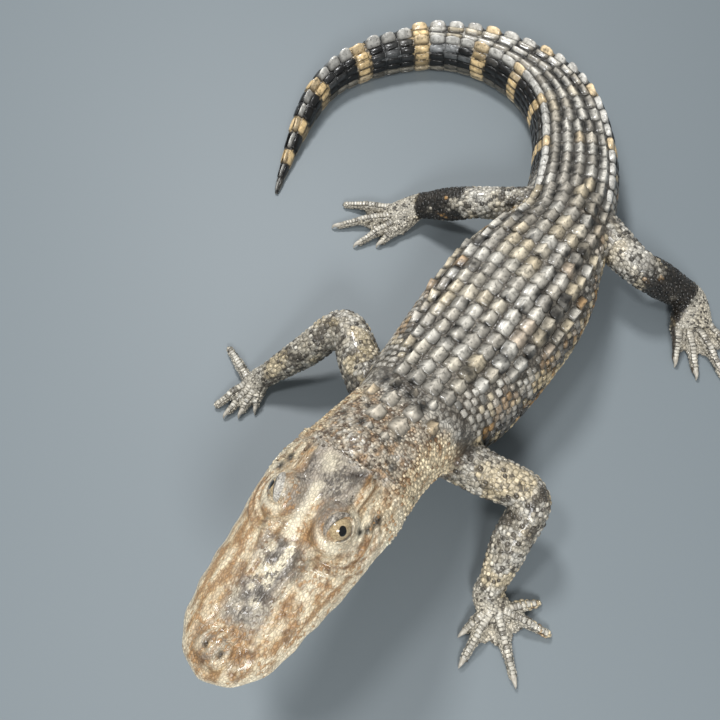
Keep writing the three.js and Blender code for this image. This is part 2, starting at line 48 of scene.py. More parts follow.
body = {
    "nape": -265, "tailTip": 512,
    "middle": (-54.0, -112.7),  # the middle of the outline, which is the frame's origin
    "headings": [
        (-265, 0.6), (-200, 0), (-25, 0), (0, 11), (60, 26), (120, 40), (180, 72), (240, 98), (300, 132),
        (360, 156), (420, 193), (470, 200), (512, 204),
    ],
    # along the spine, half width, underside, top
    "profile": [
        (-265, 37.5, 74, 120), (-240, 36, 62, 112), (-215, 37, 41, 100), (-190, 42, 17, 91),
        (-165, 47, 3, 84), (-130, 51, -3, 78), (-85, 53, -4, 76), (-55, 50.5, -4, 73.5),
        (-25, 42, -3.5, 70), (0, 35.5, -3, 66), (40, 34, -3, 58), (95, 31, -2.5, 48), (150, 28, -2.5, 41),
        (205, 22.5, -2, 36), (270, 17, -2, 32), (330, 13.5, -2, 30), (370, 11, -1.5, 27), (420, 8.5, -1, 21),
        (475, 4.5, -1, 10), (512, 1.2, -0.6, 3.2),
    ],
}

head = {
    "mouthLevel": 97, "turn": 0.6,
    "width": [
        (0, 38.5), (12, 40), (30, 39), (61, 35.5), (78, 33.2), (92, 31.2), (105, 28.4), (113, 25),
        (120, 19.8), (125, 14), (129, 4.5), (130.2, 0.6),
    ],
    "height": [
        (0, 24), (22, 23.5), (48, 20.5), (62, 17.5), (80, 15), (105, 13), (118, 11.5), (129, 5),
        (130.2, 1.5),
    ],
    "jaw": [(0, 24), (25, 21), (60, 15), (95, 11.5), (118, 8.5), (129, 3.5), (130.2, 1)],
    "mouth": [(0, -3), (14, 0), (34, 2.4), (58, -1.6), (84, 1.2), (104, -0.8), (129, 0.6)],
    "table": {"from": -1, "to": 36, "slope": 17, "front": 12, "back": 17.5, "height": 29},
    "orbit": {"x": 14.5, "y": 33, "z": 12, "size": (13.5, 19, 21)},
    "ramp": {"x": 11.5, "y": 44, "z": 10, "size": (9.5, 21, 14)},
    "nares": {"y": 114, "size": (13, 10.5, 7.6)},
    "ear": {"x": 18.2, "y": 12.5, "z": 22.6, "size": (2.9, 11.5, 4.0)},
    "napeSwell": {"y": -9, "z": 15.5, "size": (19, 15, 11)},
    "nostrils": {"x": 5.0, "y": 115.5, "discAt": 114.5, "disc": (12.4, 11.2)},
    "earSlot": {"z": 18.6, "y": 12, "slope": 0.05},
}

# each eye, 1 at the animal's right, looks its own way: tilt above the horizon and turn towards the snout, in
# degrees, and lift is how far its upper lid is drawn up
eye = {
    "y": 33, "z": 26, "radius": 7.6, "long": 7.3, "high": 5.8, "lean": 29,
    1: {"x": 18.0, "tilt": 35, "turn": 22, "lift": 0.68},
    -1: {"x": 17.5, "tilt": 45, "turn": 18, "lift": 1.0},
}

limbs = {
    "leftFore": {
        "joints": [(22, -205, 50), (87, -199, 42), (94, -250, 12)], "girths": [16, 12.5, 12, 8.5],
        "palm": 11, "tips": [(93, -286), (103, -301), (137, -291), (138, -253), (123, -240)],
        "webs": [1, 2],
    },
    "rightFore": {
        "joints": [(-24, -200, 50), (-80, -165, 44), (-116, -214, 12)], "girths": [17, 12.5, 11, 8],
        "palm": 11, "tips": [(-108, -240), (-116, -249), (-125, -255), (-135, -251), (-158, -209)],
        "webs": [1, 2],
    },
    "leftHind": {
        "joints": [(12, 16, 38), (61, -1, 36), (97, 11, 15)], "girths": [16, 12.5, 13, 11],
        "palm": 15.5, "tips": [(119, -39), (136, -40), (154, -31), (158, -10)],
        "webs": [0, 1, 2],
    },
    "rightHind": {
        "joints": [(-16, 10, 38), (-63, -13, 36), (-106, -24, 15)], "girths": [15, 11.5, 12.5, 10],
        "palm": 15, "tips": [(-121, -71), (-136, -81), (-162, -75), (-167, -51)],
        "webs": [0, 1, 2],
    },
}

photoView = {
    "at": (121.0, -382.5, 530.0), "right": (0.81013, 0.58406, -0.05068),
    "up": (-0.49230, 0.72469, 0.48216), "lens": 41.0, "sensor": 36.0,
}


frameShift = np.array([-body["middle"][0], -body["middle"][1], 0.0])  # from the hips to the frame's origin


# Curves and frames


def curveThrough(keys, column=1):
    places = np.array([key[0] for key in keys], float)
    values = np.array([key[column] for key in keys], float)
    rise = np.diff(values) / np.diff(places)
    same = rise[:-1] * rise[1:] > 0  # harmonic slopes never swing past a key
    total = np.where(same, rise[:-1] + rise[1:], 1.0)
    slopes = np.concatenate([rise[:1], np.where(same, 2 * rise[:-1] * rise[1:] / total, 0), rise[-1:]])

    def read(at):
        at = np.clip(at, places[0], places[-1])
        i = np.clip(np.searchsorted(places, at, side="right") - 1, 0, len(rise) - 1)
        span = places[i + 1] - places[i]
        t = (at - places[i]) / span
        bend = t * (t - 1) * ((t - 1) * (slopes[i] - rise[i]) + t * (slopes[i + 1] - rise[i])) * span
        return values[i] + rise[i] * span * t + bend

    return read


def smooth(value, low, high):
    t = np.clip((value - low) / (high - low), 0, 1)
    return t * t * (3 - 2 * t)


def unit(vectors):
    return vectors / np.maximum(np.linalg.norm(vectors, axis=-1, keepdims=True), 1e-9)


heading = curveThrough(body["headings"])
halfWidth = curveThrough(body["profile"], 1)
underside = curveThrough(body["profile"], 2)
topOfBack = curveThrough(body["profile"], 3)
headHalf = curveThrough(head["width"])
headTop = curveThrough(head["height"])
jawDepth = curveThrough(head["jaw"])
mouthAt = curveThrough(head["mouth"])

reach = 520  # the spine is stepped by the millimetre, this far both ways from the hips
bodyStart = -270
outward = np.arange(reach) + 0.5
backTurn = np.radians(heading(outward))
frontTurn = np.radians(heading(-outward))
spineS = np.arange(-reach, reach + 1)
spineX = np.concatenate([np.cumsum(np.sin(frontTurn))[::-1], [0], -np.cumsum(np.sin(backTurn))])
spineY = np.concatenate([-np.cumsum(np.cos(frontTurn))[::-1], [0], np.cumsum(np.cos(backTurn))])


def spineFrame(s):
    # the place on the floor under the spine, and the ways towards the tail and the animal's left
    turn = np.radians(heading(s))
    point = np.stack([np.interp(s, spineS, spineX), np.interp(s, spineS, spineY), np.zeros_like(turn)], -1)
    back = np.stack([-np.sin(turn), np.cos(turn), np.zeros_like(turn)], -1)
    left = np.stack([np.cos(turn), np.sin(turn), np.zeros_like(turn)], -1)
    return point, back, left


def sectionShape(s):
    # where the section is widest, and the powers that round its upper and lower half
    tail = smooth(s, 0, 120)
    under = np.maximum(underside(s), 0)
    widest = under + (topOfBack(s) - under) * (0.43 + 0.09 * tail)
    return widest, 2.35 + 0.5 * tail, 2.7


def bodyPoint(s, angle, grow=0.0):
    s, angle = np.broadcast_arrays(np.asarray(s, float), np.asarray(angle, float))
    point, _, left = spineFrame(s)
    widest, backPower, bellyPower = sectionShape(s)
    power = np.where(np.sin(angle) >= 0, backPower, bellyPower)
    across = np.sign(np.cos(angle)) * np.abs(np.cos(angle)) ** (2 / power)
    up = np.sign(np.sin(angle)) * np.abs(np.sin(angle)) ** (2 / power)
    rise = np.where(up >= 0, up * (topOfBack(s) + grow - widest), up * (widest - underside(s) + grow))
    place = point + left * (across * (halfWidth(s) + grow))[..., None]
    place[..., 2] = np.maximum(widest + rise, 0)
    return place


# Arc length round the skin from the middle of the back, for laying scales by the millimetre.
arcStep, arcColumns = 3.0, 120
arcS = np.arange(bodyStart, 516, arcStep)
arcAngles = np.radians(np.linspace(90, -90, arcColumns + 1))
arcPoints = bodyPoint(arcS[:, None], arcAngles[None, :])
arcSteps = np.linalg.norm(np.diff(arcPoints, axis=1), axis=2)
arcTable = np.concatenate([np.zeros((len(arcS), 1)), np.cumsum(arcSteps, axis=1)], axis=1)


def arcRows(s):
    at = np.clip((np.asarray(s, float) - arcS[0]) / arcStep, 0, len(arcS) - 1.001)
    low = at.astype(int)
    share = (at - low)[:, None]
    return arcTable[low] * (1 - share) + arcTable[low + 1] * share


def onBody(s, arc):
    rows = arcRows(s)
    wanted = np.abs(arc)[:, None]
    i = np.clip((rows < wanted).sum(axis=1), 1, rows.shape[1] - 1)
    picked = np.arange(len(i))
    low, high = rows[picked, i - 1], rows[picked, i]
    share = np.clip((np.abs(arc) - low) / np.maximum(high - low, 1e-6), 0, 1)
    angle = arcAngles[i - 1] + (arcAngles[i] - arcAngles[i - 1]) * share
    angle = np.where(arc >= 0, angle, np.pi - angle)
    return bodyPoint(s, angle), unit(bodyPoint(s + 1.5, angle) - bodyPoint(s - 1.5, angle))


def bodyCoords(points):
    # where a point lies along the spine, to its left, and how far out of the section it is
    s = np.empty(len(points))
    first = reach + bodyStart  # the spine's step under the back of the skull
    batch = 6000  # points at a time, to spare memory
    for start in range(0, len(points), batch):
        part = points[start:start + batch]
        away = (part[:, None, 0] - spineX[None, first:]) ** 2 + (part[:, None, 1] - spineY[None, first:]) ** 2
        s[start:start + batch] = spineS[first + away.argmin(axis=1)]
    point, back, left = spineFrame(s)
    s = s + ((points - point) * back).sum(axis=1)
    point, back, left = spineFrame(s)
    aside = ((points - point) * left).sum(axis=1)
    widest, backPower, bellyPower = sectionShape(s)
    across = aside / halfWidth(s)
    above = points[:, 2] - widest
    up = np.where(above > 0, above / (topOfBack(s) - widest), above / (widest - underside(s)))
    power = np.where(up >= 0, backPower, bellyPower)
    outAt = (np.abs(across) ** power + np.abs(up) ** power) ** (1 / power)
    angle = np.arctan2(np.sign(up) * np.abs(up) ** (power / 2), np.abs(across) ** (power / 2))
    rows = arcRows(s)
    column = np.clip((np.pi / 2 - angle) / np.pi * arcColumns, 0, arcColumns - 0.001)
    low = column.astype(int)
    picked = np.arange(len(s))
    arc = rows[picked, low] + (rows[picked, low + 1] - rows[picked, low]) * (column - low)
    return s, np.where(aside >= 0, arc, -arc), outAt


napePoint = spineFrame(np.array([float(body["nape"])]))[0][0]
headTurn = math.radians(180 + head["turn"])


def fromHead(points):
    points = np.asarray(points, float)
    c, s = math.cos(headTurn), math.sin(headTurn)
    x, y, z = points[..., 0], points[..., 1], points[..., 2]
    return np.stack([c * x - s * y + napePoint[0], s * x + c * y + napePoint[1], z + head["mouthLevel"]], -1)


def toHead(points):
    c, s = math.cos(headTurn), math.sin(headTurn)
    x, y = points[..., 0] - napePoint[0], points[..., 1] - napePoint[1]
    return np.stack([c * x + s * y, -s * x + c * y, points[..., 2] - head["mouthLevel"]], -1)


# Closed shapes as (points, faces)


def shifted(points):
    return points + frameShift


def loft(rings):
    rings = np.asarray(rings, float)
    count, around = rings.shape[:2]
    i, j = np.meshgrid(np.arange(count - 1), np.arange(around), indexing="ij")
    a = i * around + j
    b = i * around + (j + 1) % around
    faces = np.stack([a, b, b + around, a + around], -1).reshape(-1, 4)
    points = np.concatenate([rings.reshape(-1, 3), rings[0].mean(0)[None], rings[-1].mean(0)[None]])
    ends = []
    for ring, middle, flip in ((0, count * around, True), ((count - 1) * around, count * around + 1, False)):
        k = np.arange(around)
        first, second = ring + k, ring + (k + 1) % around
        fan = [np.full(around, middle), second, first] if flip else [np.full(around, middle), first, second]
        ends.append(np.stack(fan, -1))
    return points, [list(face) for face in faces] + [list(face) for end in ends for face in end]


def meshOf(name, shapes):
    points, faces, start = [], [], 0
    for shapePoints, shapeFaces in shapes:
        points.append(np.asarray(shapePoints))
        faces += [[index + start for index in face] for face in shapeFaces]
        start += len(shapePoints)
    mesh = bpy.data.meshes.new(name)
    mesh.from_pydata(np.concatenate(points).tolist(), [], faces)
    mesh.update()
    return mesh


def ellipsoid(centre, size, across=48, up=28):
    theta = np.linspace(0.04, np.pi - 0.04, up)[:, None]
    phi = np.linspace(0, 2 * np.pi, across, endpoint=False)[None, :]
    x = np.sin(theta) * np.cos(phi)
    y = np.sin(theta) * np.sin(phi)
    z = -np.cos(theta) * np.ones_like(phi)
    return np.stack([x, y, z], -1) * np.array(size) + np.array(centre)


def catmull(points, perSpan):
    points = np.asarray(points, float)
    full = np.vstack([2 * points[0] - points[1], points, 2 * points[-1] - points[-2]])
    out = []
    for i in range(1, len(full) - 2):
        p0, p1, p2, p3 = full[i - 1:i + 3]
        d0, d1, d2 = [max(np.linalg.norm(b - a) ** 0.5, 1e-4) for a, b in ((p0, p1), (p1, p2), (p2, p3))]
        m1 = ((p1 - p0) / d0 - (p2 - p0) / (d0 + d1) + (p2 - p1) / d1) * d1
        m2 = ((p2 - p1) / d1 - (p3 - p1) / (d1 + d2) + (p3 - p2) / d2) * d1
        for t in np.linspace(0, 1, perSpan, endpoint=False):
            out.append(
                p1 + m1 * t + (-3 * p1 + 3 * p2 - 2 * m1 - m2) * t ** 2 + (2 * p1 - 2 * p2 + m1 + m2) * t ** 3
            )
    return np.array(out + [full[-2]])


def tube(points, radii, around=28, perSpan=10, flat=1.0, swell=None):
    path = catmull(points, perSpan)
    along = np.arange(len(path)) / perSpan
    radius = curveThrough([(i, r) for i, r in enumerate(radii)])(along)
    tangent = unit(np.gradient(path, axis=0))
    side = unit(np.cross([0, 0, 1], tangent))
    up = np.cross(tangent, side)
    angle = np.linspace(0, 2 * np.pi, around, endpoint=False)
    if swell is not None:
        radius = radius * swell(along)
    ring = side[:, None] * np.cos(angle)[None, :, None] + up[:, None] * (np.sin(angle) * flat)[None, :, None]
    return path[:, None] + ring * radius[:, None, None]


# The skin

skinSettings = {
    "voxel": 0.95, "triangles": 196000, "relax": 9, "digitAround": 18, "webThick": 1.9,
}


def bodyShapes():
    s = np.concatenate([np.arange(-271, 505, 2.0), [505, 508, 510, 511.5]])
    angle = np.linspace(0, 2 * np.pi, 112, endpoint=False)
    return [loft(bodyPoint(s[:, None], angle[None, :]))]


def headShapes():
    y = np.concatenate([np.arange(-7, 124, 1.5), np.arange(124, 130.3, 0.6)])
    inside = np.clip(y, 0, None)
    half, top, low, line = headHalf(inside), headTop(inside), jawDepth(inside), mouthAt(inside)
    angle = np.radians(np.arange(0, 360, 3.0))
    upper = np.sin(angle) >= -0.02
    across = np.sign(np.cos(angle)) * np.abs(np.cos(angle)) ** np.where(upper, 2 / 2.5, 2 / 2.6)
    rise = np.abs(np.sin(angle)) ** np.where(upper, 2 / 1.9, 2 / 2.2)
    side = half[:, None] - np.where(upper, 0, 1.4)[None, :]
    z = np.where(
        upper[None, :], line[:, None] + rise * (top - line)[:, None], line[:, None] - rise * low[:, None],
    )
    rings = np.stack([across * side, np.broadcast_to(y[:, None], z.shape), z], -1)
    shapes = [rings]
    table = head["table"]
    plate = []
    for share in np.linspace(0, 1, 14):
        at = table["from"] + (table["to"] - table["from"]) * share
        wide = table["back"] + (table["front"] - table["back"]) * share
        level = table["height"] - 1.6 * share ** 1.4
        outline = [
            (wide, level - 2.4), (wide * 0.99, level - 0.9), (wide * 0.93, level - 0.1), (wide * 0.6, level),
            (0, level - 0.4), (-wide * 0.6, level), (-wide * 0.93, level - 0.1), (-wide * 0.99, level - 0.9),
            (-wide, level - 2.4), (-wide * 0.93, 12), (0, 10), (wide * 0.93, 12),
        ]
        plate.append([(x, at, z) for x, z in outline])
    lastRing = plate[-1]
    for share in (0.25, 0.5, 0.75, 1.0):  # and runs down onto the snout
        at = table["to"] + table["slope"] * share
        level = (table["height"] - 1.6) * (1 - share) + 18.0 * share
        wide = table["front"] - 3 * share
        plate.append([
            (x * wide / table["front"], at, min(z, z - table["height"] + 1.6 + level) if z > 13 else z)
            for x, y, z in lastRing
        ])
    shapes.append(np.array(plate))
    orbit = head["orbit"]
    for side in (1, -1):
        shapes.append(ellipsoid((side * orbit["x"], orbit["y"], orbit["z"]), orbit["size"]))
        ramp = head["ramp"]
        shapes.append(ellipsoid((side * ramp["x"], ramp["y"], ramp["z"]), ramp["size"]))
        lid = eye["radius"] + 1.5
        shapes.append(ellipsoid((side * eye[side]["x"], eye["y"], eye["z"]), (lid, lid * 1.2, lid)))
        ear = head["ear"]
        shapes.append(ellipsoid((side * ear["x"], ear["y"], ear["z"]), ear["size"]))
    shapes.append(ellipsoid((0, head["nares"]["y"], 8), head["nares"]["size"]))
    swell = head["napeSwell"]
    shapes.append(ellipsoid((0, swell["y"], swell["z"]), swell["size"]))
    return [loft(fromHead(rings)) for rings in shapes]


def limbPath(limb):
    root, bend, end = [np.array(joint, float) for joint in limb["joints"]]
    way = unit(end - bend)
    return [root, (root + bend) / 2, bend, (bend + end) / 2, end, end + way * 4]


def limbRadii(limb):
    girths = limb["girths"]
    return [girths[0], (girths[0] + girths[1]) / 2, girths[1], girths[2], girths[3], girths[3]]


def footPlan(limb):
    # sole, knuckles and digit ends of one foot, as the solids have them
    _, bend, end = [np.array(joint, float) for joint in limb["joints"]]
    tips = np.array([(x, y, 3.0) for x, y in limb["tips"]])
    flat = np.array([1, 1, 0])
    way = unit(end - bend)
    mean = tips.mean(axis=0)
    forward = unit((mean - end) * flat)
    across = np.array([-forward[1], forward[0], 0])
    span = np.linalg.norm((mean - end) * flat)
    sole = end + forward * span * 0.42
    sole[2] = 4
    start = end - way * 3
    wrist = end + unit(way * flat) * 5
    wrist[2] = max(start[2] - 4, 5)
    count = len(tips)
    side = np.sign(across @ (tips[-1] - tips[0]))
    orders = (np.arange(count) - (count - 1) / 2) / ((count - 1) / 2)
    knuckles = np.array([sole + across * side * order * limb["palm"] * 0.72 for order in orders])
    knuckles[:, 2] = 5
    ways = unit((tips - knuckles) * flat)
    ends = tips - ways * np.where(np.arange(count) < 3, 6.5, 1.5)[:, None]
    ends[:, 2] = 2.6
    return {"start": start, "wrist": wrist, "sole": sole, "knuckles": knuckles, "tips": tips,
            "ways": ways, "ends": ends}


def footShapes(limb):
    plan = footPlan(limb)
    widths = [limb["girths"][3], limb["girths"][3] + 1, limb["palm"]]
    shapes = [tube([plan["start"], plan["wrist"], plan["sole"]], widths, 30, 8, 0.62)]
    for knuckle, end in zip(plan["knuckles"], plan["ends"]):
        knee = (knuckle + end) / 2 + np.array([0, 0, 1.8])
        path = [knuckle, (knuckle + knee) / 2 + [0, 0, 0.2], knee, (knee + end) / 2 + [0, 0, -0.1], end]
        shapes.append(tube(path, [4.5, 3.7, 3.7, 2.8, 2.5], skinSettings["digitAround"], 5, 0.92))
        shapes.append(ellipsoid(end, (2.5, 2.5, 2.3), 16, 10))
    shapes = [loft(rings) for rings in shapes]
    for i in limb["webs"]:
        shapes.append(webShape(plan, i))
    return shapes


def webShape(plan, i):
    share = np.linspace(0, 1, 9)
    rows = []
    for t in share:
        a = plan["knuckles"][i] + (plan["tips"][i] - plan["knuckles"][i]) * 0.56 * t
        b = plan["knuckles"][i + 1] + (plan["tips"][i + 1] - plan["knuckles"][i + 1]) * 0.56 * t
        u = np.linspace(0, 1, 9)[:, None]
        line = a * (1 - u) + b * u
        line = line + (plan["sole"] - line) * (0.30 * 4 * u * (1 - u) * t)  # the free edge is drawn in
        line[:, 2] = 2.1 + 0.7 * (1 - t)
        rows.append(line)
    rows = np.array(rows)
    half = np.array([0, 0, skinSettings["webThick"] / 2])
    rings = np.concatenate([rows + half, rows[:, ::-1] - half], axis=1)
    return loft(rings)


def voxelSkin(shapes):
    rough = bpy.data.objects.new("roughSkin", meshOf("roughSkin", shapes))
    bpy.context.collection.objects.link(rough)
    remesh = rough.modifiers.new("oneSkin", "REMESH")
    remesh.mode = "VOXEL"
    remesh.voxel_size = skinSettings["voxel"]
    whole = bpy.data.meshes.new_from_object(rough.evaluated_get(bpy.context.evaluated_depsgraph_get()))
    bpy.data.objects.remove(rough)
    return whole


def pointsOf(mesh):
    flat = np.empty(len(mesh.vertices) * 3, np.float32)
    mesh.vertices.foreach_get("co", flat)
    return flat.reshape(-1, 3).astype(float)


def normalsOf(mesh):
    flat = np.empty(len(mesh.vertices) * 3, np.float32)
    mesh.vertices.foreach_get("normal", flat)
    return flat.reshape(-1, 3).astype(float)


def putPoints(mesh, points):
    mesh.vertices.foreach_set("co", points.astype(np.float32).ravel())
    mesh.update()


def edgesOf(mesh):
    flat = np.empty(len(mesh.edges) * 2, np.int32)
    mesh.edges.foreach_get("vertices", flat)
    return flat.reshape(-1, 2)


def relax(points, edges, weight, rounds):
    a, b = edges[:, 0], edges[:, 1]
    count = len(points)
    linked = np.bincount(a, minlength=count) + np.bincount(b, minlength=count)
    for _ in range(rounds):
        for share in (0.55, -0.57):  # shrink, then swell again, so thin digits keep their girth
            total = np.stack([
                np.bincount(a, points[b, k], count) + np.bincount(b, points[a, k], count) for k in range(3)
            ], -1)
            points = points + (total / linked[:, None] - points) * (share * weight)[:, None]
    return points


def nearRoots(points):
    # strongest where the limbs join the trunk, so that these become folds and not creases
    amount = np.zeros(len(points))
    for limb in limbs.values():
        root, bend = np.array(limb["joints"][0]), np.array(limb["joints"][1])
        centre = root + (bend - root) * 0.45
        amount = np.maximum(amount, 1 - smooth(np.linalg.norm(points - centre, axis=1), 16, 40))
    return amount


def noiseAt(points, size, seed=0):
    # smooth value noise from 0 to 1, with features about as wide as size in millimetres
    grid = points / size + seed * 17.37
    low = np.floor(grid).astype(np.int64)
    t = grid - low
    t = t * t * (3 - 2 * t)
    value = np.zeros(len(points))
    for corner in range(8):
        step = np.array([corner & 1, corner >> 1 & 1, corner >> 2 & 1])
        key = ((low + step) * np.array([73856093, 19349663, 83492791])).sum(axis=1) + seed * 2654435
        key = (key ^ key >> 13) * 1274126177 & 0x7FFFFFFF
        share = np.prod(np.where(step, t, 1 - t), axis=1)
        value += share * ((key ^ key >> 15) % 65536 / 65535.0)
    return value


def nostrilDisc(x, y):
    # 0 in the middle of the raised disc round the nostrils, 1 along its rim
    wide, long = head["nostrils"]["disc"]
    return np.hypot(x / wide, (y - head["nostrils"]["discAt"]) / long)


def earSlot(ax, y, z):
    # 1 in the slit under each ear flap
    slot = head["earSlot"]
    return np.exp(-((z - slot["z"] + slot["slope"] * (y - slot["y"])) ** 2)) * smooth(ax, 15, 18)


def headRelief(local):
    # rises and hollows of the skull under the skin, in millimetres along the normal
    x, y, z = local[:, 0], local[:, 1], local[:, 2]
    ax = np.abs(x)
    top = smooth(z, 4, 12)
    relief = -1.4 * np.exp(-((x / 6.5) ** 2 + ((y - 36) / 13) ** 2)) * top  # hollow between the orbits
    ridge = np.exp(-(((ax - (13.5 - 0.16 * (y - 50))) / 2.4) ** 2)) * smooth(y, 44, 54)
    ridge *= 1 - smooth(y, 78, 92)
    relief += 1.5 * ridge * top
    relief += 1.3 * np.exp(-((x / 8) ** 2)) * smooth(y, 52, 66) * (1 - smooth(y, 92, 104)) * top
    rough = noiseAt(local * [1, 0.7, 1], 5.0, 3) + 0.7 * noiseAt(local, 2.6, 4)
    middle = np.exp(-((x / 16) ** 2)) * smooth(y, 46, 58) * (1 - smooth(y, 118, 124))
    relief += 1.7 * (rough - 0.85) * middle * top
    relief += 0.8 * (noiseAt(local * [1, 0.6, 1], 4.5, 5) - 0.5) * smooth(z, 2, 6)
    relief -= 0.55 * np.exp(-(((nostrilDisc(x, y) - 1.0) / 0.16) ** 2)) * top  # moat round the nostril disc
    nostrils = head["nostrils"]
    for side in (1, -1):
        across = (x - side * nostrils["x"]) * 0.94 + (y - nostrils["y"]) * 0.34 * side
        along = (y - nostrils["y"]) * 0.94 - (x - side * nostrils["x"]) * 0.34 * side
        slit = np.exp(-((across / 1.5) ** 2 + ((along + 0.10 * across ** 2) / 3.1) ** 2))
        relief -= 2.8 * slit * top
        valve = np.exp(-(((across + side * 2.7) / 1.5) ** 2 + (along / 3.4) ** 2))
        relief += 0.9 * valve * top
        aside = side * x - 17.0
        ring = np.hypot(aside, (y - 33) * 0.9)  # folds of loose skin round the front and outside of the eye
        sector = smooth(0.6 * (y - 33) + aside, -2, 8) * (z > 4)
        relief += 0.5 * np.cos((ring - 12.8) / 3.7 * 2 * np.pi) * sector * smooth(ring, 10.5, 12.5) * (
            1 - smooth(ring, 20, 25)
        )
    bulge = np.sin((y - 6) / 8.2 * np.pi) * np.exp(-(((z - 3.5) / 4.0) ** 2)) * smooth(y, 40, 60)
    relief += 0.45 * bulge * (1 - smooth(y, 122, 128))  # over the upper teeth
    lip = z - mouthAt(y)
    relief -= 1.5 * np.exp(-((lip / 0.75) ** 2)) * smooth(y, 2, 8)
    relief += 0.55 * np.exp(-(((lip - 1.9) / 1.1) ** 2)) * smooth(y, 2, 8)
    slot = earSlot(ax, y, z) * (1 - smooth(ax, 22, 25))
    relief -= 1.9 * slot * smooth(y, 1, 4) * (1 - smooth(y, 20, 23))
    flap = np.sin((z - 19) / 2.1 * np.pi) * smooth(ax, 17, 19) * (1 - smooth(ax, 22, 24)) * smooth(z, 19, 21)
    relief += 0.3 * flap * smooth(y, 2, 5) * (1 - smooth(y, 20, 23))
    # the edge of the skull's flat top is worn and uneven
    edge = np.exp(-(((ax - 16) / 2.0) ** 2)) * smooth(z, 24, 27) * (1 - smooth(y, 22, 28))
    return relief + 0.9 * (noiseAt(local, 3.4, 9) - 0.45) * edge


def socketAt(local):
    # pulls the skin in behind the opening of each eye
    for side in (1, -1):
        centre = np.array([side * eye[side]["x"], eye["y"], eye["z"]])
        offset = local - centre
        gaze, along, over = eyeAxes(side)
        a, b, out = offset @ along, offset @ over, offset @ gaze
        away = np.maximum(np.linalg.norm(offset, axis=1), 1e-6)
        inside = (a / (eye["long"] + 0.8)) ** 2 + (b / (eye["high"] + 0.8)) ** 2
        beside = (1 - smooth(inside, 1.4, 3.2)) * (out > 0.5) * (away < 17)
        level = np.where(away > 8.8, away + (8.8 - away) * beside, away)  # as high as the lids there
        pull = (1 - smooth(inside, 0.9, 1.25)) * (out > 2) * (away < 14)
        local = centre + offset * ((level + (5.9 - level) * pull) / away)[:, None]
    return local


def eyeAxes(side):
    tilt, turn = math.radians(eye[side]["tilt"]), math.radians(eye[side]["turn"])
    level = np.array([side * math.cos(turn), math.sin(turn), 0.0])
    gaze = level * math.cos(tilt) + np.array([0, 0, math.sin(tilt)])
    along = np.array([-side * math.sin(turn), math.cos(turn), 0.0])
    over = np.array([0, 0, math.cos(tilt)]) - level * math.sin(tilt)
    return gaze, along, over


def limbCoords(points):
    # the nearest limb of each point: its number, the share of the way to the wrist, how far out in radii,
    # the way along the limb there, and the angle round it
    which = np.full(len(points), -1)
    along, turn = np.zeros(len(points)), np.zeros(len(points))
    out = np.full(len(points), 99.0)
    ways = np.tile([0.0, 1.0, 0.0], (len(points), 1))
    for number, limb in enumerate(limbs.values()):
        path = catmull(limbPath(limb), 8)
        radius = curveThrough([(i, r) for i, r in enumerate(limbRadii(limb))])(np.arange(len(path)) / 8)
        tangent = unit(np.gradient(path, axis=0))
        some = np.where(np.linalg.norm(points[:, :2] - path[:, :2].mean(axis=0), axis=1) < 140)[0]
        for k in range(len(path)):
            offset = points[some] - path[k]
            away = np.linalg.norm(offset, axis=1) / radius[k]
            better = away < out[some]
            chosen = some[better]
            out[chosen], along[chosen], which[chosen] = away[better], k / (len(path) - 1), number
            ways[chosen] = tangent[k]
            level = unit(np.cross([0, 0, 1], tangent[k]))
            turn[chosen] = np.arctan2(offset[better] @ np.cross(tangent[k], level), offset[better] @ level)
    return which, along, out, ways, turn


def makeSkin():
    shapes = bodyShapes() + headShapes()
    for limb in limbs.values():
        shapes.append(loft(tube(limbPath(limb), limbRadii(limb), 40, 10)))
        shapes += footShapes(limb)
    mesh = voxelSkin(shapes)
    points = pointsOf(mesh)
    edges = edgesOf(mesh)
    print("skin: remeshed to", len(points), "points")
    points = relax(points, edges, np.full(len(points), 0.8), 3)
    points = relax(points, edges, nearRoots(points), skinSettings["relax"])
    joint = smooth(points[:, 1], napePoint[1] - 14, napePoint[1] - 3)
    joint *= 1 - smooth(points[:, 1], napePoint[1] + 8, napePoint[1] + 20)
    points = relax(points, edges, joint, 8)
    local = toHead(points)
    brow = np.exp(-(((local[:, 1] - 46) / 9) ** 4)) * (local[:, 2] > 10) * (np.abs(local[:, 0]) < 32)
    points = relax(points, edges, brow, 14)
    putPoints(mesh, points)
    normals = normalsOf(mesh)
    local = toHead(points)
    onHead = smooth(local[:, 1], -2, 4) * (points[:, 2] > 60)
    some = onHead > 0.001
    points[some] += normals[some] * (headRelief(local[some]) * onHead[some])[:, None]
    local = toHead(points[some])
    points[some] = fromHead(socketAt(local))
    points[:, 2] = np.maximum(points[:, 2], 0)
    putPoints(mesh, points)
    skin = bpy.data.objects.new("skin", mesh)
    bpy.context.collection.objects.link(skin)
    thin = skin.modifiers.new("fewer", "DECIMATE")
    thin.ratio = skinSettings["triangles"] / (2 * len(mesh.polygons))
    plain = bpy.data.meshes.new_from_object(skin.evaluated_get(bpy.context.evaluated_depsgraph_get()))
    skin.modifiers.clear()
    skin.data = plain
    bpy.data.meshes.remove(mesh)
    plain.name = "skin"
    print("skin:", len(plain.polygons), "faces")
    return skin
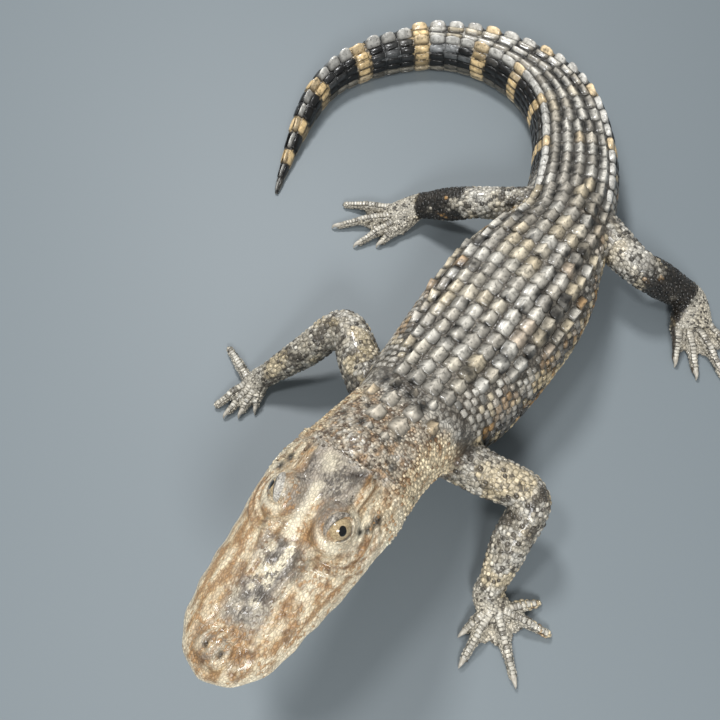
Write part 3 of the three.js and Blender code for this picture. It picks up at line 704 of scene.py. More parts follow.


# Markings

# the near-black tone serves black spots and dark scales, and painted shadow in the gaps among the scutes
palette = {
    "scute": "bcb6aa", "scutePale": "dfdbd0", "blackSpotAndShadow": "0d0c0b", "grey": "8d877c", "seamShade": "7b7367",
    "flank": "37322d", "cream": "dcc9a2", "tan": "b88f58",
    "tailDark": "0f0e0d", "tailWaterSheen": "a9abab", "band": "efd09a", "crest": "dfdcd4",
    "limb": "b9b1a0", "limbDark": "4a433a", "shank": "13110f",
    "head": "cdae80", "headPale": "f3e2bf", "headTan": "a8835a", "headBrown": "7c5936", "headDark": "2b2018",
    "headGrey": "a39b8f", "headSlate": "564f47", "lip": "f5e9cd", "belly": "d8cfbb", "foot": "cdc6b6",
    "nape": "c2b5a0", "napeTan": "d8bb8c",
}


def linear(code):
    channels = np.array([int(code[i:i + 2], 16) for i in (0, 2, 4)]) / 255
    return np.where(channels <= 0.04045, channels / 12.92, ((channels + 0.055) / 1.055) ** 2.4)


tones = {name: linear(code) for name, code in palette.items()}


def plain(name, points):
    return np.tile(tones[name], (len(points), 1))


def mixed(base, name, amount):
    amount = np.clip(amount, 0, 1)[:, None]
    other = tones[name] if isinstance(name, str) else name
    return base * (1 - amount) + other * amount


def spot(points, centre, size):
    return np.exp(-((np.linalg.norm((points - np.array(centre)) / np.array(size), axis=1)) ** 3))


# Pale bands of the tail: place along it and half length. Further back they run over the crest.
tailBands = [(77, 6.5), (135, 7), (186, 7), (234, 8), (295, 8), (353, 8), (405, 7.5), (446, 6.5), (477, 6)]

# Single spots of painted shadow in the gaps among the scutes, and tan stains: along the spine, round the
# skin, and how wide.
gapShadows = [
    (-201, -21, 3.4), (-202.5, -11, 4.2), (-203.5, -1.5, 4.2), (-207, 9, 4.4), (-195, -5, 2.6),
    (-87, 21, 3.0), (-104, 18, 3.0), (-76, 38.5, 3.8), (-90, 39, 3.8), (-105, 41, 4.2), (-49, 30.5, 4.0),
    (-35, 27, 3.6), (-8, 22, 4), (-152, -7, 3), (-140, -7.5, 3), (-127, 40, 4), (-106, -42, 4),
    (4, 20, 3.6), (-28, -25, 3), (-60, -33, 3.4), (-124, -34, 3), (-166, 16, 3), (-172, -22, 3),
    (-61, 6, 2.4), (-64, 21, 2.8), (-45, 20, 2.8), (-103, 5.5, 2.4), (-88, 31.5, 3), (-68, -37, 3.4),
    (-94, -37.5, 3.6), (-48, -6, 2.2), (3, -12, 2.4), (6, 2, 2.2), (-89, -29, 2.6), (-31, -26, 2.4),
    (-12, -18, 2.4), (-128, 6, 2.4), (-140, 28, 3),
]
# spots of painted shadow in the gaps among the scutes and pebbles of the neck
neckGapShadows = [
    (-207, 9, 4.4), (-214, 11, 3.6), (-224, 6, 3), (-239, -10, 2.8), (-202, -34, 3.6), (-212, -51, 4),
    (-225, -15, 2.4), (-234, 12.5, 2.8), (-219, 27, 2.8), (-198, 18, 3), (-239, -24, 2.6), (-252, 21, 2.6),
]
stains = [
    (-117, 32, 6), (-87, -43, 6), (-65, 47.5, 6), (-15, 34, 6), (-59, 31, 5), (-115, -46, 6), (-113, 57, 7),
    (-113, -66, 8), (-40, -47, 6), (-150, -48, 8), (-160, 50, 8),
]


def nearAny(s, arc, places):
    amount = np.zeros(len(s))
    for a, b, wide in places:  # each is a little longer than wide
        amount = np.maximum(amount, np.exp(-(np.hypot((s - a) / 1.35, arc - b) / wide) ** 4))
    return amount


def sideOf(s, arc):
    # 0 along the middle of the back, 1 where the section is widest
    return np.abs(arc) / np.maximum(arcRows(s)[:, arcColumns // 2], 1)


def placesOf(points):
    # everything that the markings and the scales need to know about each point
    s, arc, outAt = bodyCoords(points)
    which, along, out, ways, turn = limbCoords(points)
    rough = noiseAt(points, 7.0, 31)
    local = toHead(points)
    onHead = smooth(local[:, 1] + 5 * (rough - 0.5), -2, 4) * (points[:, 2] > 58) * (np.abs(local[:, 0]) < 60)
    reached = np.maximum(1 - smooth(out, 1.5, 2.1), (along > 0.93) * (points[:, 2] < 24))
    limb = smooth(outAt + 0.10 * (rough - 0.5), 1.03, 1.16) * (which >= 0) * reached * (1 - onHead)
    neck = smooth(-s + 8 * (rough - 0.5), 203, 220) * (1 - limb) * (1 - onHead)
    return {"s": s, "arc": arc, "which": which, "along": along, "ways": ways, "turn": turn, "limb": limb,
            "foot": limb * smooth(along, 0.93, 1.0) * (points[:, 2] < 22), "local": local, "onHead": onHead,
            "neck": neck, "side": sideOf(s, arc)}


def bodyTone(points, s, arc):
    # what the scutes and scales of trunk and tail wear
    side = sideOf(s, arc)
    rough, fine = noiseAt(points, 9.0, 1), noiseAt(points, 3.5, 2)
    colour = plain("scute", points)
    colour = mixed(colour, "grey", np.maximum(smooth(rough, 0.5, 0.8) * 0.6, smooth(s, -50, 60) * 0.5))
    colour = mixed(colour, "scutePale", smooth(fine, 0.5, 0.8) * 0.7)
    flank = smooth(side + 0.30 * (rough - 0.5), 0.66, 0.92)
    colour = mixed(colour, "flank", flank * 0.85)
    colour = mixed(colour, "cream", flank * smooth(noiseAt(points, 10.0, 6), 0.5, 0.6))
    colour = mixed(colour, "tan", flank * smooth(noiseAt(points, 8.0, 7), 0.66, 0.76) * 0.8)
    dark = smooth(side + 0.3 * (rough - 0.5), 0.40 - 0.30 * smooth(s, 150, 300), 0.68) * smooth(s, 10, 60)
    dark = np.maximum(dark, smooth(s, 240, 330))
    colour = mixed(colour, "tailDark", dark)
    # painted reflection: grey-blue patches on the sides of the tail's middle stand for the water's sheen over
    # it
    between = smooth(s, 215, 250) * (1 - smooth(s, 372, 400))
    between *= smooth(side, 0.2, 0.4) * (1 - smooth(side, 0.75, 0.9))
    colour = mixed(colour, "tailWaterSheen", between * smooth(noiseAt(points, 14.0, 8), 0.4, 0.6) * 0.65)
    wave = 4.0 * (noiseAt(points, 12.0, 9) - 0.5)
    climb = 0.9 * smooth(s, 215, 290)  # towards the tip the bands climb over the back
    bandSide = smooth(side, 0.55 - climb, 0.75 - climb)
    for place, half in tailBands:
        band = 1 - smooth(np.abs(s - place + wave), half - 1.5, half + 1.5)
        colour = mixed(colour, "band", band * bandSide * 0.95)
    first = tailBands[0][0]  # this one shows faintly on the back as well
    faint = np.exp(-(((s - first) / 6) ** 4)) * smooth(noiseAt(points, 9.0, 10), 0.3, 0.6)
    colour = mixed(colour, "band", faint * 0.5)
    colour = mixed(colour, "grey", smooth(s, 490, 512) * 0.4)
    belly = smooth(side, 1.18, 1.4)
    return mixed(colour, "belly", belly * (1 - 0.55 * smooth(s, 60, 200)))


def bodyMarkings(points, where):
    # the hide that shows between the scutes, and its mosaic of little dark scales
    s, arc, side = where["s"], where["arc"], where["side"]
    rough = noiseAt(points, 8.0, 19)
    colour = bodyTone(points, s, arc)
    # painted shade: where the hide shows between the scutes of the back it is greyed, and over the front of
    # the tail nearly blackened, with more painted shadow by noise and at the listed gaps
    onBack = (1 - smooth(side, 0.6, 0.85)) * smooth(s, -205, -190)
    colour = mixed(colour, "seamShade", onBack * (1 - smooth(s, 0, 30)) * 0.8)
    colour = mixed(colour, "blackSpotAndShadow", onBack * smooth(s, 0, 30) * (1 - smooth(s, 210, 240)) * 0.75)
    colour = mixed(colour, "blackSpotAndShadow", onBack * smooth(rough, 0.62, 0.76) * 0.7)
    colour = mixed(colour, "blackSpotAndShadow", nearAny(s, arc, gapShadows))
    veins = mixed(plain("limbDark", points), "tailDark", smooth(s, 10, 120))
    share = 0.30 + 0.2 * smooth(side, 0.6, 0.9) - 0.35 * smooth(side, 1.15, 1.35)
    return colour, veins, share


def limbMarkings(points, where):
    which, along = where["which"], where["along"]
    rough, fine = noiseAt(points, 8.0, 11), noiseAt(points, 3.2, 12)
    colour = plain("limb", points)
    colour = mixed(colour, "scutePale", smooth(fine, 0.45, 0.75) * 0.7)
    colour = mixed(colour, "limbDark", smooth(noiseAt(points, 6.5, 13), 0.6, 0.72) * 0.8)
    colour = mixed(colour, "cream", smooth(noiseAt(points, 12.0, 14), 0.6, 0.72) * 0.6)
    hind = which >= 2
    shank = smooth(along + 0.16 * (rough - 0.5), 0.46, 0.52) * (1 - smooth(along, 0.88, 0.94)) * hind
    colour = mixed(colour, "shank", shank * smooth(rough, 0.06, 0.26) * 0.97)
    colour = mixed(colour, "tan", shank * smooth(noiseAt(points, 7.0, 15), 0.72, 0.8) * 0.6)
    # painted highlight: a pale band round each hind thigh near the knee
    colour = mixed(colour, "scutePale", np.exp(-(((along - 0.36) / 0.08) ** 2)) * hind * 0.7)
    ankle = np.exp(-(((along - 0.93) / 0.025) ** 2)) * hind
    colour = mixed(colour, "shank", ankle * 0.8)
    colour = mixed(colour, "foot", smooth(along, 0.95, 1.0) * 0.75)
    colour = mixed(colour, "belly", (points[:, 2] < 5) * 0.3)
    veins = mixed(plain("limbDark", points), "shank", hind * 0.6)
    share = 0.22 - 0.06 * smooth(along, 0.95, 1.0) + 0.24 * shank
    return colour, veins, share


# Stains of the head: to its right, towards the snout, half width, half length, tone and strength.
headPatches = [
    (16, 78, 4.5, 7, "headBrown", 0.6), (-18, 80, 3.4, 8, "headBrown", 0.95),
    (-25, 88, 4, 5, "headBrown", 0.8), (1.5, 122.5, 5, 3.2, "headBrown", 0.95),
    (-15, 109, 4.6, 6.5, "headBrown", 0.95), (-9, 102, 7, 2.6, "headBrown", 0.7),
    (14, 112, 3.4, 6, "headBrown", 0.6), (-24, 51, 5.5, 2.4, "headBrown", 1.0),
    (-27.5, 39, 2.4, 5, "headBrown", 0.8), (-10.4, 47, 2.0, 3.0, "headDark", 0.95),
    (-7, 42, 1.8, 6, "headBrown", 0.95), (16.5, 49, 2.8, 4, "headBrown", 0.9),
    (8.5, 46, 2.6, 3.2, "headBrown", 0.8), (27, 18, 3.0, 8, "headBrown", 0.9),
    (34, 8, 3, 4, "headDark", 0.7), (17, 0, 2.4, 2.4, "headDark", 0.95),
    (24, 2, 4.5, 3.4, "headBrown", 0.8), (-22, -2, 3, 3, "headBrown", 0.7), (-22, 64, 4, 7, "lip", 0.6),
    (-22.5, 98, 3.6, 3.6, "headTan", 0.8), (25, 60, 4, 12, "headTan", 0.6), (-9, 92, 5, 8, "headGrey", 0.8),
    (4, 96, 6, 7, "headGrey", 0.8), (-14, 60, 3, 9, "headSlate", 0.6), (11, 60, 3, 8, "headGrey", 0.8),
    (15.7, 31, 6.4, 8, "headGrey", 1.0), (15, 29, 3.6, 4.5, "lip", 0.8),
    (-8, 29.5, 4.6, 6.5, "headSlate", 0.7), (-12, 33, 3, 6, "headBrown", 0.6),
    (8, 12, 6, 6, "headGrey", 0.9), (-33.5, 14, 1.8, 11, "headBrown", 0.7),
    (-37.5, 6, 3.2, 14, "lip", 0.85), (-31.6, 33, 2.2, 5, "headBrown", 0.8), (-19, 46, 6, 1.8, "lip", 0.95),
    (-0.5, 93, 7, 6, "headGrey", 0.85), (-4, 98, 4, 3, "headSlate", 0.6),
]

# Black spots of the cheeks: to the right, towards the snout, up, and half width.
cheekSpots = [
    (-30.4, 16.8, 16, 2.9), (-29.5, 23.2, 16, 2.3), (-27, 27.5, 17, 1.7), (29, 14, 16, 2.5),
    (31, 21, 15, 2.3),
]
darkCorner = [(-8.6, 6.8), (-11.2, 5.2), (-13.8, 3.6)]
orbitMiddle, orbitRadius = (17.2, 33), 9


def headMarkings(points, where):
    coat = headGround(points, where["local"])
    for part in (snoutMarkings, crownMarkings, orbitMarkings, nostrilMarkings, cheekMarkings, lipMarkings):
        coat = part(points, where["local"], *coat)
    return coat


def headGround(points, local):
    # cream, tan and brown streaks that flow along the head and part round the eyes
    x, y, z = local[:, 0], local[:, 1], local[:, 2]
    ax, sign = np.abs(x), np.where(x >= 0, 1, -1)
    rough, fine = noiseAt(points, 6.0, 21), noiseAt(points, 2.6, 22)
    colour = plain("head", points)
    colour = mixed(colour, "headPale", smooth(noiseAt(points * [1, 0.45, 1], 6.0, 25), 0.35, 0.65) * 0.7)
    colour = mixed(colour, "headPale", smooth(fine, 0.5, 0.8) * 0.5)
    colour = mixed(colour, "headPale", smooth(ax / headHalf(y), 0.72, 0.9) * 0.6)
    # painted light: the head's left side is made paler
    colour = mixed(colour, "headPale", smooth(-x / headHalf(y), 0.3, 0.8) * 0.5)
    aside = ax - orbitMiddle[0]
    beyond = np.maximum(aside ** 2 + (y - orbitMiddle[1]) ** 2, orbitRadius ** 2)
    parted = orbitMiddle[0] + aside * (1 - orbitRadius ** 2 / beyond)
    flow = np.stack([sign * parted, y * 0.2, z * 0.7], -1)
    streaks, wisps = noiseAt(flow, 2.3, 26), noiseAt(flow, 1.5, 30)
    colour = mixed(colour, "lip", smooth(streaks, 0.52, 0.40) * 0.5)
    colour = mixed(colour, "headTan", smooth(streaks, 0.52, 0.66) * 0.85)
    colour = mixed(colour, "headBrown", smooth(wisps, 0.62, 0.76) * smooth(rough, 0.35, 0.6) * 0.8)
    behind = smooth(ax, 20, 25) * (1 - smooth(y, 34, 46))
    colour = mixed(colour, "lip", behind * smooth(wisps, 0.56, 0.42) * 0.95)
    colour = mixed(colour, "headBrown", behind * smooth(wisps, 0.62, 0.72) * 0.6)
    colour = mixed(colour, "lip", smooth(ax / headHalf(y), 0.88, 0.98) * 0.5)
    return colour, plain("headTan", points), 0.13 + 0.14 * smooth(rough, 0.5, 0.75)


def snoutMarkings(points, local, colour, veins, share):
    # the grey middle of the snout, mottled with slate and cream; the cream patches are partly the skin's own
    # and partly painted highlight for the glints on the wet snout
    x, y = local[:, 0], local[:, 1]
    rough, shoal = noiseAt(points, 6.0, 21), noiseAt(points, 5.5, 24)
    snout = np.exp(-(((x + 1) / (11.5 + 5 * (rough - 0.5))) ** 4)) * smooth(y, 46, 56)
    snout *= 1 - smooth(y + 8 * (rough - 0.5), 96, 104)
    colour = mixed(colour, "headGrey", snout * smooth(rough, 0.1, 0.35))
    colour = mixed(colour, "headSlate", snout * (1 - smooth(shoal, 0.34, 0.46)) * 0.75)
    # cream patches, partly painted highlight for the glints of the wet snout
    colour = mixed(colour, "lip", snout * smooth(shoal, 0.53, 0.62) * (1 - 0.5 * smooth(y, 82, 92)))
    return colour, mixed(veins, "headSlate", snout), share + 0.06 * snout


def crownMarkings(points, local, colour, veins, share):
    # the skull's flat top, grey and cracked, with a cream patch and a dark corner at its back, and the cream
    # streak that runs on between the eyes
    x, y, z = local[:, 0], local[:, 1], local[:, 2]
    rough, fine = noiseAt(points, 6.0, 21), noiseAt(points, 2.6, 22)
    table = 1 - smooth(np.abs(x) + 4 * (rough - 0.5), 15, 18.5)
    table = table * (1 - smooth(y + 6 * (fine - 0.5), 22, 30)) * (z > 22)
    colour = mixed(colour, "headGrey", table * 0.85)
    colour = mixed(colour, "lip", spot(local, (5.5, 7, 28), (5.2, 6.0, 9)) * 0.95)
    share = share + 0.02 * table - 0.4 * spot(local, (5.5, 7, 28), (5.5, 6.5, 9))
    for a, b in darkCorner:
        colour = mixed(colour, "headDark", spot(local, (a, b, 27), (3.0, 1.9, 9)) * 0.95)
    cracks = 1 - smooth(np.abs(noiseAt(points, 6.5, 28) - 0.5), 0.02, 0.07)
    colour = mixed(colour, "headDark", table * cracks * 0.6)
    streak = np.exp(-(((x - 4.0 + 0.05 * (y - 23) + 1.6 * (fine - 0.5)) / 3.1) ** 4)) * smooth(y, 17, 22)
    streak *= 1 - smooth(y, 47, 54)
    colour = mixed(colour, "lip", streak * (z > 12) * 0.97)
    return colour, mixed(veins, "headSlate", table), share - 0.35 * streak


def orbitMarkings(points, local, colour, veins, share):
    # grey above the eyes, a cream ring and brown folds below them, the brown lying in the folds' troughs as
    # partly the skin's tone and partly painted shade, then the head's stains
    ax, y, z = np.abs(local[:, 0]), local[:, 1], local[:, 2]
    aside, ahead = ax - orbitMiddle[0], y - orbitMiddle[1]
    ring = np.hypot(aside, ahead)
    above = np.exp(-((np.hypot(ax - 9.5, (y - 31) * 0.55) / 6.0) ** 4)) * (z > 14)
    colour = mixed(colour, "headGrey", above * 0.85)
    lower = np.exp(-(((ring - 10.8) / 2.0) ** 2)) * smooth((ax - 14) + 0.4 * ahead, -3, 5) * (z > 8)
    colour = mixed(colour, "lip", lower * 0.95)
    # brown in the troughs between the raised folds: partly the skin's tone, partly painted shade
    folds = smooth(np.cos((ring - 14.65) / 3.7 * 2 * np.pi), 0.2, 0.9) * smooth(ring, 11, 13)
    folds *= 1 - smooth(ring, 21, 26)
    folds *= smooth(0.6 * ahead + ax - 17, -2, 8) * (z > 2)
    colour = mixed(colour, "headBrown", folds * smooth(noiseAt(points, 2.6, 22), 0.3, 0.65) * 0.75)
    ragged = 0.25 + 0.75 * smooth(noiseAt(points, 2.2, 29), 0.3, 0.6)
    for a, b, wide, long, name, amount in headPatches:
        colour = mixed(colour, name, spot(local, (a, b, 12), (wide, long, 30)) * ragged * (z > 5) * amount)
    return colour, veins, share - 0.25 * lower


def nostrilMarkings(points, local, colour, veins, share):
    # soft brown arcs round the nostrils' pale, mottled disc, and the slits, darkened as painted shade
    x, y, z = local[:, 0], local[:, 1], local[:, 2]
    disc = nostrilDisc(x, y)
    arcs = np.exp(-(((disc - 1.0) / 0.2) ** 2)) * (z > 3) * smooth(noiseAt(points, 7.0, 27), 0.25, 0.5)
    colour = mixed(colour, "headBrown", arcs * 0.6)
    inner = (1 - smooth(disc, 0.55, 0.9)) * (z > 5)
    colour = mixed(colour, "headGrey", inner * smooth(noiseAt(points, 2.6, 22), 0.35, 0.6) * 0.6)
    # painted shade: the slits of the nostrils are darkened
    nostril = (head["nostrils"]["x"], head["nostrils"]["y"], 12)
    slits = spot(np.stack([np.abs(x), y, z], -1), nostril, (1.5, 2.8, 8))
    colour = mixed(colour, "headDark", slits * 0.9)
    return colour, veins, share + 0.12 * arcs


def cheekMarkings(points, local, colour, veins, share):
    # pale cheeks with black spots, and ear flaps grooved with brown over a slit darkened as painted shade
    x, y, z = local[:, 0], local[:, 1], local[:, 2]
    ax, sign = np.abs(x), np.where(x >= 0, 1, -1)
    cheek = smooth(ax, 20, 25) * (1 - smooth(y, 22, 30))
    colour = mixed(colour, "headPale", cheek * smooth(noiseAt(points, 6.0, 21), 0.4, 0.7) * 0.5)
    for a, b, c, wide in cheekSpots:
        colour = mixed(colour, "blackSpotAndShadow", spot(local, (a, b, c), (wide, wide * 1.4, 7)) * 0.97)
    flap = smooth(ax, 15.5, 17.5) * (1 - smooth(ax, 22, 24)) * smooth(y, 0, 3)
    flap = flap * (1 - smooth(y, 20, 24)) * (z > 19.5)
    grooves = smooth(np.cos((ax - 17) / 1.9 * 2 * np.pi + 0.6 * sign), 0.2, 0.8)
    colour = mixed(colour, "headBrown", flap * grooves * 0.7)
    # painted shade: the slit under each ear flap is darkened
    slot = earSlot(ax, y, z) * (1 - smooth(ax, 23, 26))
    colour = mixed(colour, "headDark", slot * smooth(y, 1, 4) * (1 - smooth(y, 20, 24)) * 0.9)
    return colour, veins, share - 0.1 * cheek


def lipMarkings(points, local, colour, veins, share):
    # cream lips with the line of the mouth between them darkened as painted shade, and the pale throat
    lip = local[:, 2] - mouthAt(local[:, 1])
    pale = 1 - smooth(lip, 1.5, 5.0)
    colour = mixed(colour, "lip", pale * 0.85)
    # painted shade: the line of the mouth is darkened
    colour = mixed(colour, "headDark", np.exp(-((lip / 0.6) ** 2)) * 0.85)
    colour = mixed(colour, "belly", (1 - smooth(lip, -14, -5)) * 0.5)
    return colour, veins, share * (1 - 0.75 * pale)


def neckMarkings(points, where):
    arc = np.abs(where["arc"])
    rough, fine = noiseAt(points, 6.0, 33), noiseAt(points, 2.4, 32)
    colour = plain("nape", points)
    colour = mixed(colour, "scutePale", smooth(fine, 0.5, 0.8) * 0.6)
    outer = smooth(arc + 10 * (rough - 0.5), 22, 34)
    colour = mixed(colour, "napeTan", outer * 0.8)
    colour = mixed(colour, "headPale", outer * smooth(rough, 0.45, 0.65) * 0.8)
    # the pale underside, and the neck's left side made paler as painted light
    pale = np.maximum(smooth(arc, 46, 58), smooth(where["arc"], 26, 40))
    colour = mixed(colour, "headPale", pale * 0.85)
    colour = mixed(colour, "headTan", smooth(noiseAt(points, 3.0, 34), 0.58, 0.75) * 0.7)
    # painted shadow in the gaps among the neck's scutes
    colour = mixed(colour, "blackSpotAndShadow", nearAny(where["s"], where["arc"], neckGapShadows) * 0.9)
    veins = mixed(plain("limbDark", points), "headBrown", 0.3 + 0.7 * outer)
    return colour, veins, 0.24 - 0.14 * smooth(arc, 24, 46)


def markings(points, where):
    def over(base, top, amount):
        keep = 1 - amount
        return (base[0] * keep[:, None] + top[0] * amount[:, None],
                base[1] * keep[:, None] + top[1] * amount[:, None], base[2] * keep + top[2] * amount)

    whole = over(bodyMarkings(points, where), limbMarkings(points, where), where["limb"])
    whole = over(whole, neckMarkings(points, where), where["neck"])
    return over(whole, headMarkings(points, where), where["onHead"])


def paint(mesh, colours, name="markings", alpha=None):
    layer = mesh.attributes.new(name, "FLOAT_COLOR", "POINT")
    last = np.ones((len(colours), 1)) if alpha is None else np.clip(alpha, 0, 1)[:, None]
    whole = np.concatenate([np.clip(colours, 0, 1), last], axis=1)
    layer.data.foreach_set("color", whole.astype(np.float32).ravel())


# Materials


def addNode(tree, kind, inputs=None, **settings):
    node = tree.nodes.new(kind)
    for name, value in settings.items():
        setattr(node, name, value)
    for name, value in (inputs or {}).items():
        socket = node.inputs[name]
        if isinstance(value, bpy.types.NodeSocket):
            tree.links.new(value, socket)
        else:
            socket.default_value = value
    return node


def addMath(tree, operation, *values):
    return addNode(tree, "ShaderNodeMath", dict(enumerate(values)), operation=operation)


def startMaterial(name):
    material = bpy.data.materials.new(name)
    material.use_nodes = True
    material.node_tree.nodes.clear()
    return material, material.node_tree


# Wet reptile skin: a mosaic of thin horny scales over soft hide, some of them dark, with pale glints, and
# painted shade in the grooves between the scales.
# "markings" is its ground colour; "veins" its dark colour and, as alpha, the share of scales that wear it;
# "fine" is 1 where the scales are the head's small ones.
def hideMaterial(name, gloss):
    material, tree = startMaterial(name)
    place = addNode(tree, "ShaderNodeTexCoord").outputs["Object"]
    ground = addNode(tree, "ShaderNodeAttribute", attribute_name="markings").outputs["Color"]
    veins = addNode(tree, "ShaderNodeAttribute", attribute_name="veins").outputs
    fine = addNode(tree, "ShaderNodeAttribute", attribute_name="fine").outputs["Fac"]
    longer = addNode(tree, "ShaderNodeVectorMath", {0: place, 1: (1.0, 0.62, 1.0)}, operation="MULTIPLY")
    wander = addNode(tree, "ShaderNodeTexNoise", {"Vector": place, "Scale": 260.0, "Detail": 2.0})
    shift = addNode(tree, "ShaderNodeVectorMath", {
        0: wander.outputs["Color"], 1: (0.0011, 0.0011, 0.0011), 2: longer.outputs[0],
    }, operation="MULTIPLY_ADD")

    def cells(size, spots):
        scale = 1000 / size  # a cell is so many millimetres wide
        near = addNode(tree, "ShaderNodeTexVoronoi", {"Vector": spots, "Scale": scale})
        edge = addNode(tree, "ShaderNodeTexVoronoi", {
            "Vector": spots, "Scale": scale,
        }, feature="DISTANCE_TO_EDGE")
        pick = addNode(tree, "ShaderNodeSeparateColor", {0: near.outputs["Color"]})
        return pick.outputs[0], edge.outputs["Distance"]

    smallPick, smallEdge = cells(1.55, shift.outputs[0])
    bigPick, bigEdge = cells(2.8, place)

    def blend(a, b):
        return addNode(tree, "ShaderNodeMix", {"Factor": fine, 2: a, 3: b}, data_type="FLOAT").outputs[0]

    pick, edge = blend(bigPick, smallPick), blend(bigEdge, smallEdge)
    cloudy = addMath(tree, "MULTIPLY_ADD", fine, 300.0, 230.0)
    cloud = addNode(tree, "ShaderNodeTexNoise", {
        "Vector": longer.outputs[0], "Scale": cloudy.outputs[0], "Detail": 4.0,
    })
    threads = addNode(tree, "ShaderNodeTexNoise", {
        "Vector": longer.outputs[0], "Scale": 330.0, "Detail": 1.5,
    })
    centred = addMath(tree, "SUBTRACT", threads.outputs["Fac"], 0.5)
    thread = addNode(tree, "ShaderNodeMath", {0: centred.outputs[0]}, operation="ABSOLUTE")
    lines = addNode(tree, "ShaderNodeMapRange", {
        "Value": thread.outputs[0], "From Min": 0.012, "From Max": 0.055, "To Min": 0.55, "To Max": 0.0,
    })
    finely = addMath(tree, "MULTIPLY", lines.outputs[0], fine)
    scattered = addMath(tree, "MULTIPLY_ADD", pick, 0.42, 0.0)
    chance = addNode(tree, "ShaderNodeMath", {
        0: cloud.outputs["Fac"], 1: 1.15, 2: scattered.outputs[0],
    }, operation="MULTIPLY_ADD")
    wanted = addMath(tree, "SUBTRACT", 1.12, veins["Alpha"])
    above = addMath(tree, "SUBTRACT", chance.outputs[0], wanted.outputs[0])
    isDark = addNode(tree, "ShaderNodeMapRange", {
        "Value": above.outputs[0], "From Min": -0.08, "From Max": 0.10, "To Min": 0.0, "To Max": 0.9,
    })
    share = addNode(tree, "ShaderNodeMath", {0: veins["Alpha"], 1: 3.0}, operation="MULTIPLY", use_clamp=True)
    thin = addMath(tree, "MULTIPLY", finely.outputs[0], share.outputs[0])
    amount = addMath(tree, "MAXIMUM", isDark.outputs[0], thin.outputs[0])
    tinted = addNode(tree, "ShaderNodeMix", {
        "Factor": amount.outputs[0], 6: ground, 7: veins["Color"],
    }, data_type="RGBA")
    # painted shade: each scale is darkened towards its edge, in the grooves between the scales
    grooveShadeDepth = addMath(tree, "MULTIPLY_ADD", fine, 0.22, 0.40)
    grooveShade = addNode(tree, "ShaderNodeMapRange", {
        "Value": edge, "From Min": 0.0, "From Max": 0.2, "To Min": grooveShadeDepth.outputs[0], "To Max": 1.0,
    })
    dull = addMath(tree, "MULTIPLY_ADD", fine, 0.10, 0.74)
    bright = addMath(tree, "MULTIPLY_ADD", fine, -0.08, 1.22)
    shade = addNode(tree, "ShaderNodeMapRange", {
        "Value": pick, "To Min": dull.outputs[0], "To Max": bright.outputs[0],
    })
    light = addMath(tree, "MULTIPLY", grooveShade.outputs[0], shade.outputs[0])
    final = addNode(tree, "ShaderNodeMix", {
        "Factor": 1.0, 6: tinted.outputs[2], 7: light.outputs[0],
    }, data_type="RGBA", blend_type="MULTIPLY")
    grain = addNode(tree, "ShaderNodeTexNoise", {"Vector": place, "Scale": 520.0, "Detail": 3.0})
    dome = addNode(tree, "ShaderNodeMapRange", {"Value": edge, "From Max": 0.3})
    height = addNode(tree, "ShaderNodeMath", {
        0: grain.outputs["Fac"], 1: 0.35, 2: dome.outputs[0],
    }, operation="MULTIPLY_ADD")
    relief = addNode(tree, "ShaderNodeBump", {
        "Height": height.outputs[0], "Strength": 0.6, "Distance": 0.0005,
    })
    wet = addNode(tree, "ShaderNodeMapRange", {
        "Value": cloud.outputs["Fac"], "From Min": 0.3, "From Max": 0.7,
        "To Min": gloss - 0.08, "To Max": gloss + 0.1,
    })
    shader = addNode(tree, "ShaderNodeBsdfPrincipled", {
        "Base Color": final.outputs[2], "Roughness": wet.outputs[0], "Normal": relief.outputs[0],
        "Specular IOR Level": 0.45, "Coat Weight": 0.35, "Coat Roughness": 0.08,
    })
    addNode(tree, "ShaderNodeOutputMaterial", {"Surface": shader.outputs[0]})
    return material


